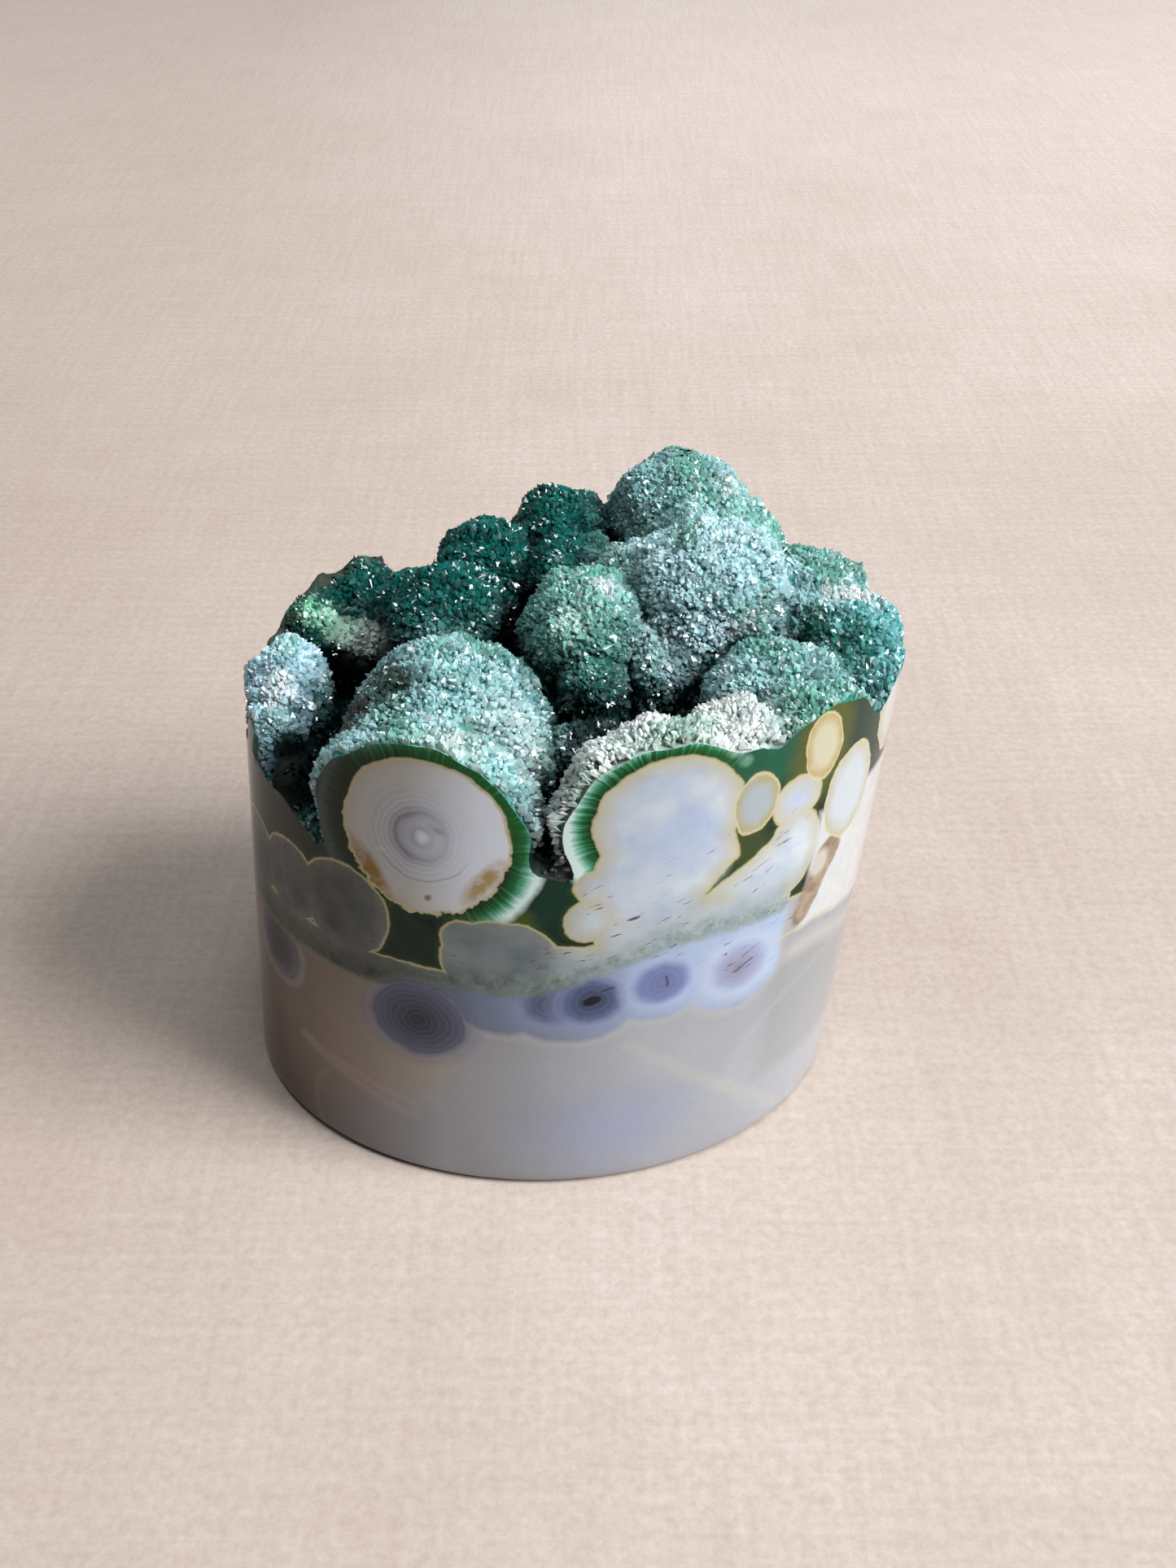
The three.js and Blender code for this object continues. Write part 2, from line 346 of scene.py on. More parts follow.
# %% The lobes
LOBES = [
    ((-11.6, -23.5, 46.0), (11.4, 10.0, 11.4), "mint_white"),
    ((-10.8, -15.5, 47.0), (11.0, 11.5, 11.2), "grey_green"),
    ((-10.4, -8.5, 46.4), (10.6, 10.6, 10.6), "grey_green"),
    ((-27.8, -3.0, 48.2), (4.6, 6.4, 6.0), "bluish_white"),
    ((-28.4, -7.6, 47.0), (3.6, 4.0, 4.0), "bluish_white"),
    ((-15.0, -20.0, 46.5), (8.6, 8.0, 9.0), "mint_white"),
    ((-28.5, -14.5, 39.5), (6.5, 9.0, 5.0), "pale_teal"),
    ((-26.8, 12.0, 47.2), (5.0, 5.4, 4.6), "deep_teal"),
    ((-22.6, 16.6, 48.0), (4.8, 4.6, 4.6), "deep_teal"),
    ((-22.8, 10.6, 45.9), (5.2, 4.8, 4.4), "deep_teal"),
    ((-20.4, 13.8, 47.0), (2.7, 6.2, 4.8), "deep_teal"),
    ((-20.8, 18.6, 48.4), (2.6, 3.4, 3.9), "deep_teal"),
    ((-11.0, 5.0, 51.9), (6.8, 6.6, 6.6), "deep_teal"),
    ((-15.6, 9.0, 51.9), (3.6, 4.6, 4.2), "deep_teal"),
    ((-7.6, 14.0, 53.7), (5.9, 6.5, 5.6), "deep_teal"),
    ((0.7, 19.0, 55.1), (5.9, 6.0, 5.6), "deep_teal"),
    ((1.4, 12.0, 53.6), (5.4, 5.6, 5.4), "deep_teal"),
    ((13.6, 17.3, 58.4), (7.9, 7.5, 7.3), "grey_green"),
    ((15.9, 4.0, 55.1), (9.4, 9.4, 9.4), "frosty"),
    ((16.6, 10.5, 56.5), (8.3, 8.3, 7.6), "pale_green"),
    ((10.2, 6.0, 54.3), (7.0, 7.4, 6.8), "frosty"),
    ((3.4, 0.0, 53.9), (7.0, 7.0, 6.8), "pale_green"),
    ((3.9, -4.5, 50.9), (4.4, 4.4, 4.6), "deep_teal"),
    ((11.3, -2.0, 51.4), (5.4, 5.4, 5.0), "frosty"),
    ((26.7, 6.8, 52.2), (7.2, 8.2, 7.0), "grey_green"),
    ((31.0, 0.5, 51.2), (6.4, 7.0, 6.2), "pale_teal"),
    ((22.6, -9.5, 51.3), (8.0, 6.8, 6.3), "grey_green"),
    ((10.9, -25.0, 47.9), (11.0, 8.5, 10.8), "white"),
    ((17.2, -20.5, 52.8), (5.6, 6.0, 5.2), "white"),
    ((25.5, -18.0, 50.0), (8.5, 8.0, 8.2), "pale_green"),
    ((33.2, -7.0, 47.2), (8.2, 8.2, 7.9), "pale_teal"),
    ((4.0, -12.5, 45.8), (5.6, 4.8, 4.8), "dark_teal"),
    ((-9.0, 21.5, 46.0), (6.5, 6.5, 6.0), "deep_teal"),
    ((3.0, 24.0, 48.0), (6.5, 5.5, 6.5), "deep_teal"),
    ((14.5, 23.5, 50.0), (7.5, 5.5, 6.5), "grey_green"),
    ((26.0, 16.0, 47.5), (8.5, 7.5, 7.0), "pale_teal"),
]
ROCK = [
    ((15, 8, 42), (15.5, 13, 12)), ((-3, 14, 43), (11, 9, 9)), ((28, 3, 42), (10, 13, 11)),
    ((20, -20, 42), (9, 9, 13)), ((29, -12, 42), (8, 9, 12)), ((-24.5, 15.5, 40), (7.5, 6.5, 8)),
    ((-28, -5, 39), (7, 12, 8)), ((-0.5, -25.5, 38), (7, 5, 6.5)), ((-8, 23.5, 42), (9.5, 6.5, 7.5)),
    ((8, 24.5, 43), (10, 7, 9.5)), ((23, 18.5, 43), (10, 8, 9)),
]
RIM_TURNS = (-140.0, -131.0, -122.0, -112.0, -103.0, -98.0)
RIM_TOPS = (52.4, 52.6, 52.2, 50.6, 48.0, 45.0)
RIM_EGGS = 44
RIM_RADII = (1.0, 1.0, 3.2)


def rim_egg(turn):
    """One lump of the bare polished rim, which stands on the wall at that angle."""
    middle = float(np.interp(turn, RIM_TURNS, RIM_TOPS)) - RIM_RADII[2]
    angle = math.radians(turn)
    x = BASE_X + LEAN * middle + HALF_WIDTH * math.sin(angle)
    return (x, -HALF_DEPTH * math.cos(angle), middle), RIM_RADII, "bare"


LUMPS = LOBES + [(centre, radii, "dark_teal") for centre, radii in ROCK]
LUMPS += [rim_egg(turn) for turn in np.linspace(RIM_TURNS[0], RIM_TURNS[-1], RIM_EGGS)]
print("lobes:", len(LOBES), "rock lumps:", len(ROCK), "rim lumps:", RIM_EGGS)

# %% [markdown]
# A lobe's skin is not smooth. It swells and sinks by a fraction of a millimetre every few
# millimetres, and the crystals follow it. The same swelling is used for the skin and for the
# crystals on it, so it is a fixed sum of waves of seeded directions.

# %% Eggs and their uneven skin
SWELL = 0.42
WAVES = 14
WAVE_CALM = 1.6
wave_random = np.random.default_rng(5)
wave_directions = wave_random.normal(size=(WAVES, 3))
wave_counts = wave_random.uniform(0.9, 2.2, WAVES)
wave_directions *= (wave_counts / np.linalg.norm(wave_directions, axis=1))[:, None]
wave_phases = wave_random.uniform(0, 2 * math.pi, WAVES)


def swelling(points):
    waves = np.sin(points @ wave_directions.T + wave_phases).sum(axis=1)
    return SWELL * waves / math.sqrt(WAVES / 2) / WAVE_CALM


def root_reach(centre, radii):
    """How far down an egg reaches from its middle."""
    return max(radii[2], centre[2] - ROOT_LEVEL)


def egg_radii(heights, centre, radii):
    """The radii of an egg at points of those heights, longer below its middle."""
    up = np.where(heights >= centre[2], radii[2], root_reach(centre, radii))
    # A lump of rock whose height is given as a whole number counts with whole radii, rounded down.
    return np.stack([np.full_like(up, radii[0]), np.full_like(up, radii[1]), up], axis=1)


def egg_share(points, centre, radii):
    """1 on an egg's surface, less inside it and more outside it."""
    return np.linalg.norm((points - centre) / egg_radii(points[:, 2], centre, radii), axis=1)


lobe_middles = np.array([centre for centre, radii, look in LOBES])
print("swelling at the lobes' middles in mm:", np.round(np.ptp(swelling(lobe_middles)), 2))

# %% [markdown]
# The stone itself is one solid: the column, with its top carved into lobes. Drawing every lobe in by
# half a millimetre, or a little more under long crystals, leaves room for them. The lobes and the
# floor of the hollow are separate closed meshes at first. A voxel remesh melts them into one skin,
# and a boolean cuts that skin with the finely divided column, which leaves the wall truly smooth and
# its upper edge crisp, as a saw and a polishing wheel do. First comes the column.

# %% Column
WALL_SIDES = 320
RING_STEP = 1.0
EDGE_STEPS = 5


def mesh_object(name, vertices, faces):
    mesh = bpy.data.meshes.new(name)
    mesh.from_pydata((np.asarray(vertices) * MM).tolist(), [], faces)
    mesh.validate()
    return add_object(name, mesh)


def wall_column():
    """The oval column: rings of vertices, the lowest ones drawn in to round the bottom edge."""
    edge = [math.pi / 2 * step / EDGE_STEPS for step in range(EDGE_STEPS + 1)]
    rings = [(BASE_EDGE * (1 - math.sin(angle)), BASE_EDGE * (1 - math.cos(angle))) for angle in edge]
    count = round((WALL_TOP - BASE_EDGE) / RING_STEP)
    rings += [(0.0, BASE_EDGE + (WALL_TOP - BASE_EDGE) * (step + 1) / count) for step in range(count)]
    angles = np.arange(WALL_SIDES) * 2 * math.pi / WALL_SIDES
    vertices = []
    for inset, height in rings:
        x = (HALF_WIDTH - inset) * np.cos(angles) + BASE_X + LEAN * height
        y = (HALF_DEPTH - inset) * np.sin(angles)
        vertices.append(np.stack([x, y, np.full_like(x, height)], axis=1))
    sides = [(side, (side + 1) % WALL_SIDES) for side in range(WALL_SIDES)]
    faces = [tuple(range(WALL_SIDES))[::-1]]
    top = (len(rings) - 1) * WALL_SIDES
    for low in range(0, top, WALL_SIDES):
        high = low + WALL_SIDES
        faces += [(low + side, low + after, high + after, high + side) for side, after in sides]
    faces.append(tuple(range(top, top + WALL_SIDES)))
    return mesh_object("wall_column", np.concatenate(vertices), faces)


column = wall_column()
print("column faces:", len(column.data.polygons))

# %% [markdown]
# The lobes are balls drawn out into eggs, and a flat box is the floor that they grow from. The box
# reaches past the wall and below the base, so that only its top takes part in the cut.

# %% Lobed top
SKIN_DEPTHS = {"white": 0.8, "bare": 0.0}
SKIN_DEPTH = 0.55
VOXEL = 0.75
SLAB_WIDTH = 90
SLAB_DEPTH = 80
SLAB_BOTTOM = -6


def lobed_top():
    """Every egg, drawn in by the crust, with a slab for the floor, melted into one skin."""
    whole = bmesh.new()
    for centre, radii, look in LUMPS:
        ball = bmesh.ops.create_icosphere(whole, subdivisions=4, radius=1.0)["verts"]
        unit = np.array([v.co for v in ball])
        drawn = np.array(radii) - SKIN_DEPTHS.get(look, SKIN_DEPTH)
        points = unit * drawn
        lower = unit[:, 2] < 0
        points[lower, 2] = unit[lower, 2] * root_reach(centre, radii)
        points += centre
        points += unit * swelling(points)[:, None]
        for vertex, point in zip(ball, points):
            vertex.co = point * MM
    for vertex in bmesh.ops.create_cube(whole, size=1.0)["verts"]:
        vertex.co.x *= SLAB_WIDTH * MM
        vertex.co.y *= SLAB_DEPTH * MM
        vertex.co.z = (FLOOR_LEVEL - SKIN_DEPTH) * MM if vertex.co.z > 0 else SLAB_BOTTOM * MM
    mesh = bpy.data.meshes.new("lobed_top")
    whole.to_mesh(mesh)
    whole.free()
    thing = add_object("lobed_top", mesh)
    melt = thing.modifiers.new("melt", "REMESH")
    melt.mode = "VOXEL"
    melt.voxel_size = VOXEL * MM
    settle = thing.modifiers.new("settle", "SMOOTH")
    settle.factor = 0.5
    settle.iterations = 2
    return thing


def evaluated_mesh(thing):
    graph = bpy.context.evaluated_depsgraph_get()
    return bpy.data.meshes.new_from_object(thing.evaluated_get(graph))


lobes = lobed_top()
lobes.data = evaluated_mesh(lobes)
lobes.modifiers.clear()
print("faces of the lobes:", len(lobes.data.polygons))

# %% [markdown]
# The cut comes last. The wall made here is finer than the model's, so a few of its vertices lie a
# hundredth of a millimetre outside the model's box, and they are drawn in to it.

# %% Carve the stone
SHARP_EDGE = 35


def carve_stone():
    cut = column.modifiers.new("carve", "BOOLEAN")
    cut.operation = "INTERSECT"
    cut.solver = "MANIFOLD"
    cut.object = lobes
    carved = evaluated_mesh(column)
    stone = add_object("polished_stone", carved)
    for helper in (column, lobes):
        bpy.data.objects.remove(helper)
    corners = np.empty(len(carved.vertices) * 3)
    carved.vertices.foreach_get("co", corners)
    corners = np.clip(corners.reshape(-1, 3), cad_box[0], cad_box[1])
    carved.vertices.foreach_set("co", corners.ravel())
    carved.shade_smooth()
    carved.set_sharp_from_angle(angle=math.radians(SHARP_EDGE))
    return stone


stone = carve_stone()
print("stone faces:", len(stone.data.polygons))

# %% [markdown]
# The polished wall shows the stone's inside: pale orbs in green chalcedony above, a lavender layer of
# orbs in the middle, and clear grey chalcedony below. No picture is laid over it. Every feature is
# drawn from its own centre and radii in wall coordinates, which are millimetres along the wall from
# the middle of its front, and millimetres up. A noise that belongs to the solid stone bends those
# coordinates a little, so that no outline is a perfect curve, and it runs on round the back. The
# layers are laid over one another like paint, and a part of the wall only gets the marks near it.

# %% Wall coordinates
ARC_SCALE = 30.8
ARC_SWAY = 1.7
WANDER = 1.1
MARK_REACH = 8.0


class WallGraph(Graph):
    """The finish of one part of the wall, whose two ends are millimetres along it."""

    def __init__(self, name, ends):
        super().__init__(name)
        self.ends = ends
        self.x, self.y, upright = self.apart(self.solid)
        across = (self.x - upright * LEAN - BASE_X) / HALF_WIDTH
        turn = self.math("ARCTAN2", across, -(self.y / HALF_DEPTH))
        along = turn * ARC_SCALE + self.math("SINE", turn * 2) * ARC_SWAY
        straight = self.add("CombineXYZ", {}, {"X": along, "Y": upright}).outputs[0]
        bend = self.noise(0.33, 3.0, 0.62).outputs["Color"]
        bent_by = self.vector("MULTIPLY_ADD", bend, (WANDER, WANDER, 0), straight)
        back = (-WANDER / 2, -WANDER / 2, 0)
        self.flat = self.add("Mapping", {}, {"Vector": bent_by, "Location": back}).outputs[0]
        self.along, self.height, unused = self.apart(self.flat)

    def lay(self, share, tint):
        """Lays a tint over what is there, all of it where the share is 1."""
        self.colour = self.mix(share, self.colour, tint)

    def touching(self, marks):
        """The marks that lie in this part of the wall or reach into it."""
        start, end = self.ends[0] - MARK_REACH, self.ends[1] + MARK_REACH
        return [mark for mark in marks if start < mark[0][0] < end]

    def holds(self, centre):
        return self.ends[0] < centre[0] < self.ends[1]

    def oval(self, centre, radii, turned=0.0):
        """Millimetres outside an oval, which may be turned anticlockwise; less than 0 inside it."""
        if turned:
            cos, sin = math.cos(math.radians(turned)), math.sin(math.radians(turned))
            from_centre = self.vector("SUBTRACT", self.flat, (*centre, 0))
            long = self.vector("DOT_PRODUCT", from_centre, (cos / radii[0], sin / radii[0], 0))
            wide = self.vector("DOT_PRODUCT", from_centre, (-sin / radii[1], cos / radii[1], 0))
            share = self.math("SQRT", long * long + wide * wide)
        else:
            scale = (1 / radii[0], 1 / radii[1], 0)
            shift = (-centre[0] / radii[0], -centre[1] / radii[1], 0)
            share = self.vector("LENGTH", self.vector("MULTIPLY_ADD", self.flat, scale, shift))
        mean = (radii[0] + radii[1]) / 2
        return self.math("MULTIPLY_ADD", share, mean, -mean)

    def share_out(self, distance, radii):
        """The way out from an oval's centre, 0 there and 1 on its outline, from millimetres outside."""
        return self.math("MULTIPLY_ADD", distance, 2 / (radii[0] + radii[1]), 1.0)

    def spindle(self, start, end, start_radius, end_radius):
        """Millimetres outside a straight bar whose half-width changes from one end to the other."""
        run = (end[0] - start[0], end[1] - start[1], 0)
        from_start = self.vector("SUBTRACT", self.flat, (*start, 0))
        along_bar = self.vector("DOT_PRODUCT", from_start, run)
        share = self.math("MULTIPLY", along_bar, 1 / (run[0] ** 2 + run[1] ** 2), clamp=True)
        foot = self.add("VectorMath", {"operation": "SCALE"}, {0: run, "Scale": share}).outputs[0]
        away = self.vector("LENGTH", self.vector("SUBTRACT", from_start, foot))
        return away - (share * (end_radius - start_radius) + start_radius)


print("wall round the stone in mm:", round(2 * math.pi * ARC_SCALE, 1))

# %% [markdown]
# Below the orbs the stone is clear grey chalcedony, browner and darker towards the left, partly its own
# colour and partly painted shade, as that side faces away from the light. It is painted first, because
# everything above it overlaps it. One broad cloud of noise makes its three tints uneven. A faint
# lavender patch, pale healed seams as soft lines, and a fine speckle follow.

# %% Clear grey chalcedony
SEAM_TINT = (176, 172, 162)


def grey_chalcedony(g):
    haze = g.mottle(0.05, 3.0, 0.5, 0.3, 0.7)
    speck = g.mottle(1.4, 4.0, 0.7, 0.3, 0.75)
    grey = g.mix(haze, (140, 142, 146), (156, 159, 165))
    tan = g.mix(haze, (150, 138, 126), (166, 154, 142))
    brown = g.mix(haze, (78, 60, 50), (106, 88, 76))
    upper_left = g.rising(g.height - g.along * 0.55, 17.0, 22.0) * g.rising(g.along, -8.0, -12.0)
    g.colour = g.mix(upper_left * 0.8, grey, tan)
    # browner and darker towards the left: partly the stone's colour, partly painted shade
    g.lay(g.rising(g.x, -12.0, -31.0), brown)
    g.lay(g.within(g.oval((7.0, 8.5), (8.0, 5.0)), 8.0) * 0.6, (140, 146, 176))
    clear_right = g.within(g.largest(24.5 - g.along, g.height - 26.0, 9.0 - g.height), 2.5)
    g.lay(clear_right * 0.5, (134, 136, 134))
    seams = [
        (g.spindle((8.2, 20.6), (20.1, 10.6), 0.1, 0.3), 1.5, 0.55, SEAM_TINT),
        (g.spindle((20.1, 10.6), (28.4, 3.1), 0.3, 0.15), 1.5, 0.5, SEAM_TINT),
        (g.spindle((-29.0, 13.0), (-14.5, 9.5), 0.2, 0.9), 1.6, 0.5, (176, 158, 146)),
        (g.oval((-17.5, 5.0), (10.0, 8.2)), 1.1, 0.22, (168, 148, 134)),
        (g.oval((36.0, 12.0), (15.0, 11.0)), 1.4, 0.3, (172, 172, 170)),
    ]
    for distance, softness, strength, tint in seams:
        g.lay(g.stroke(distance, 0.3, softness) * strength, tint)
    g.lay(speck * 0.14, (112, 110, 108))


# %% [markdown]
# The lavender layer is a row of orbs of clear blue-violet chalcedony, cut through their middles. Its
# lower edge is scalloped because each orb stands out of it as a round, and light that comes through
# the stone makes that edge glow. Inside, every orb has a darker core and very fine rings.

# %% Lavender layer
LAVENDER_ROUNDS = [
    ((-13.9, 22.8), (5.3, 4.9)), ((-4.9, 27.6), (5.7, 5.0)), ((1.8, 27.6), (7.4, 5.9)),
    ((10.9, 28.9), (5.8, 5.2)), ((19.6, 28.1), (5.8, 5.8)), ((-34.0, 23.0), (4.6, 4.2)),
]
LAVENDER_ORBS = [
    ((-13.9, 22.8), (4.4, 4.0), (34, 34, 46), (72, 74, 92), (84, 88, 110)),
    ((0.0, 27.1), (3.0, 2.7), (50, 54, 78), (84, 92, 124), (118, 130, 160)),
    ((3.9, 27.4), (3.1, 2.8), (28, 34, 56), (76, 86, 120), (120, 132, 164)),
    ((10.9, 28.8), (2.9, 2.7), (92, 100, 140), (104, 116, 158), (152, 166, 196)),
    ((19.6, 28.1), (3.2, 3.1), (120, 118, 136), (140, 148, 176), (166, 178, 198)),
    # the orb far on the left is painted darker, partly as painted shade
    ((-34.0, 23.0), (3.0, 2.9), (30, 26, 30), (50, 48, 56), (74, 72, 78)),
]
LAVENDER_END = 24.6
LAVENDER_BOTTOM = 26.3
LAVENDER_CRACKS = [((19.0, 27.7), (21.0, 28.6)), ((11.2, 29.4), (11.4, 28.3))]


def lavender_layer(g):
    rounds = [g.oval(*mark) for mark in g.touching(LAVENDER_ROUNDS)]
    edge = g.largest(g.smallest(*rounds, LAVENDER_BOTTOM - g.height), g.along - LAVENDER_END)
    g.lay(g.within(edge - 0.4, 1.6) * 0.45, (178, 176, 172))
    # painted shade: the layer is darker towards the left, away from the light
    shade = g.rising(g.x, 16.0, -18.0)
    cloud = g.mottle(0.35, 4.0, 0.6, 0.3, 0.7)
    body = g.mix(shade, (156, 172, 196), (60, 68, 92))
    body = g.mix(cloud * 0.5, body, g.mix(shade, (134, 148, 176), (92, 98, 112)))
    body = g.mix(g.rising(g.height, 26.0, 21.5) * 0.4, body, (110, 104, 112))
    g.lay(g.within(edge, 0.8), body)
    for centre, radii, core, disc, halo in g.touching(LAVENDER_ORBS):
        share = g.share_out(g.oval(centre, radii), radii)
        g.lay(g.rising(share, 1.7, 1.05) * 0.7, halo)
        tone = g.mix(g.rising(share, 0.0, 0.85), core, disc)
        g.lay(g.rising(share, 1.2, 0.8), tone)
        wave = g.math("SINE", share * ((radii[0] + radii[1]) * 4.5))
        rings = g.rising(wave, -1.0, 1.0) * g.rising(share, 1.9, 1.2)
        g.lay(rings * 0.035, (196, 202, 218))


def lavender_marks(g):
    """The small black hollow in the third orb and the dark cracks in the last two."""
    g.lay(g.within(g.oval((3.9, 27.4), (1.0, 0.6), 20.0), 0.25) * 0.9, (12, 14, 24))
    for start, end in LAVENDER_CRACKS:
        g.lay(g.within(g.spindle(start, end, 0.1, 0.1), 0.2) * 0.8, (40, 38, 46))


print("lavender orbs:", len(LAVENDER_ORBS))

# %% [markdown]
# Between the lavender orbs and the white ones lies a mossy layer: pale grey-green stone full of short
# dark dashes, all sloping the same way. The dashes come from one noise, stretched along their slope
# and cut off sharply, so that only its highest streaks show. They are laid on with the pale orbs,
# because they run on into them.

# %% Mossy layer
MOSS_STEPS = [(-20.0, -16.0, 2.4), (-2.0, 12.0, 5.6)]
MOSS_START = 26.0
DASH_SLOPE = 22.0
DASH_SIZE = (2.4, 0.38, 1.0)
DASH_LEVELS = (0.64, 0.675)


def over_moss(g):
    """Millimetres above the moss's lower edge, which climbs to the right in two steps."""
    level = MOSS_START
    for start, end, climb in MOSS_STEPS:
        level = g.rising(g.along, start, end) * climb + level
    return g.height - level


def dashes(g):
    sockets = {"Vector": g.flat, "Rotation": (0, 0, math.radians(DASH_SLOPE)), "Scale": DASH_SIZE}
    stretched = g.add("Mapping", {"vector_type": "TEXTURE"}, sockets).outputs[0]
    return g.rising(g.cloud(1.0, 2.0, 0.55, stretched), *DASH_LEVELS)


def mossy_layer(g):
    over = over_moss(g)
    cloud = g.mottle(0.6, 6.0, 0.75, 0.38, 0.62)
    moss = g.mix(cloud, (88, 106, 98), (144, 158, 156))
    # painted shade, partly: the moss is darker towards the left
    moss = g.mix(g.rising(g.x, 6.0, -18.0), moss, g.mix(cloud, (40, 44, 34), (76, 80, 72)))
    end = g.within(g.along - LAVENDER_END, 1.0)
    g.lay(g.rising(over, -0.9, 0.9) * end, moss)
    g.lay(g.stroke(over, 0.3, 1.0) * end * 0.45, (112, 124, 74))


# %% [markdown]
# The pale orbs and lobes carry the stone's name. They grew into one another, so their outline is the
# outline of a union: the smallest of their distances. One list holds those seen in the photograph and
# a seeded loop adds the ones on the hidden side, of the same sizes and heights.

# %% Outline of the pale orbs
RIGHT_ORB = (9.55, 49.4)
RIGHT_RADII = (7.2, 7.1)
PALE_ROUNDS = [
    (RIGHT_ORB, RIGHT_RADII), ((3.4, 42.1), (2.3, 2.1)), ((3.0, 38.0), (2.7, 2.6)),
    ((9.9, 42.6), (7.3, 8.0)), ((18.3, 49.1), (2.3, 3.5)), ((23.3, 47.8), (3.0, 2.9)),
    ((23.7, 41.0), (3.5, 5.4)), ((20.6, 39.6), (5.2, 4.6)), ((-5.6, 32.5), (6.1, 5.1)),
    ((-9.3, 34.6), (2.5, 2.5)), ((-22.9, 34.5), (5.7, 5.7)), ((-30.8, 34.2), (4.9, 4.9)),
    ((-38.5, 33.4), (5.0, 4.6)),
]
GREEN_FLOOR = 30.2
VALLEY_FLOOR = 34.7
VALLEY_ENDS = (-5.0, 27.5)
RIGHT_BED = 39.0
RIGHT_BED_ENDS = (3.5, 24.5)
BACK_SPOTS = np.arange(46.0, 92.0, 9.0)

back_random = np.random.default_rng(11)
back_rounds = []
back_orbs = []
for side in (-1, 1):
    for spot in BACK_SPOTS:
        size = back_random.uniform(4.2, 6.4)
        middle = side * (spot + back_random.uniform(-1.2, 1.2))
        back_rounds.append(((middle, back_random.uniform(33.0, 37.0)), (size, size * 0.95)))
        if back_random.random() < 0.6:
            orb = back_random.uniform(2.6, 4.6)
            back_orbs.append(((middle + side * 3.0, back_random.uniform(43.0, 46.0)), (orb, orb * 1.1)))
print("pale rounds:", len(PALE_ROUNDS) + len(back_rounds), "orbs at the back:", len(back_orbs))


def pale_outline(g):
    """Millimetres outside the pale orbs and the pale beds between them."""
    rounds = [g.oval(*mark) for mark in g.touching(PALE_ROUNDS + back_rounds)]
    valley = g.largest(g.height - VALLEY_FLOOR, VALLEY_ENDS[0] - g.along, g.along - VALLEY_ENDS[1])
    outline = g.smallest(*rounds, g.height - GREEN_FLOOR, valley)
    if not g.holds(RIGHT_ORB):
        return outline
    bed = g.largest(g.height - RIGHT_BED, RIGHT_BED_ENDS[0] - g.along, g.along - RIGHT_BED_ENDS[1])
    green_wedge = g.spindle((14.3, 39.2), (19.8, 44.8), 0.1, 1.35)
    return g.largest(g.smallest(outline, bed), -green_wedge)


# %% [markdown]
# Inside the outline the stone is darker on the left and blue-white on the right, where faint rings
# and a tan margin show as well. The dashes of the moss run on into it. The back is hidden in the
# photograph, so it gets one plain finish that is alike on both sides of its seam.

# %% Pale orbs
LOBE_TONES = [
    ((56, 62, 64), (82, 88, 90)), ((94, 104, 108), (118, 128, 130)),
    ((154, 168, 190), (182, 190, 196)),
]


def pale_lobes(g, outline):
    right = g.rising(g.along, -1.0, 3.0)
    cloud = g.mottle(0.28, 3.0, 0.55, 0.3, 0.7)
    # the dim tones on the left are partly the stone's grey and partly painted shade
    dim, middle, bright = (g.mix(cloud, *tones) for tones in LOBE_TONES)
    body = g.mix(g.rising(g.along, -19.0, -14.0), dim, middle)
    body = g.mix(right, body, bright)
    blue_heart = g.within(g.oval((10.5, 46.5), (4.0, 3.0)), 5.0) * right
    body = g.mix(blue_heart * 0.5, body, (146, 164, 196))
    rings = g.math("SINE", g.oval((9.0, 48.0), (7.2, 7.2)) * 5.0)
    body = g.mix(g.rising(rings, -1.0, 1.0) * right * 0.07, body, (190, 194, 200))
    mottle = g.mottle(0.8, 4.0, 0.65, 0.35, 0.65)
    margin = g.rising(outline + (mottle - 0.5) * 0.9, -2.3, -0.2) * (right * 0.68 + 0.12)
    body = g.mix(margin, body, g.mix(mottle, (168, 158, 118), (172, 170, 150)))
    over = over_moss(g)
    above = g.rising(over, 0.4, 3.4)
    inside = g.within(outline, 0.15)
    g.lay(inside * above, body)
    g.lay(g.rising(over, 7.0, 2.0) * above * right * 0.5 * inside, (128, 138, 136))
    patches = g.mottle(0.16, 1.0, 0.5, 0.46, 0.56) * g.rising(g.height, 49.0, 43.0)
    streaks = dashes(g) * g.within(outline + 0.6, 0.5) * g.rising(g.height, 26.5, 28.5)
    g.lay(streaks * patches * 0.85, (44, 42, 38))


def plain_back(g):
    """Grey under pale lobes, below the green."""
    cloud = g.mottle(0.12, 4.0, 0.6, 0.3, 0.7)
    fine = g.mottle(0.6, 4.0, 0.65, 0.35, 0.65)
    grey = g.mix(cloud, (124, 122, 120), (150, 148, 146))
    lobes = g.mix(fine, (104, 114, 116), (138, 146, 148))
    lower = g.stroke(g.height - 27.0, 1.2, 2.0) * 0.5
    colour = g.mix(g.rising(g.height, 26.5, 29.5), grey, lobes)
    colour = g.mix(lower, colour, g.mix(fine, (88, 100, 88), (122, 132, 124)))
    g.lay(g.rising(g.y, 13.8, 22.0), colour)


# %% [markdown]
# Between the pale orbs the stone is green: nearly black in the deep pools, olive over the pale lobes
# and teal towards the crack. It is painted wherever the outline of the pale orbs is outside, above
# the green's own floor, from a cloud of noise and a few broad ovals of other greens.

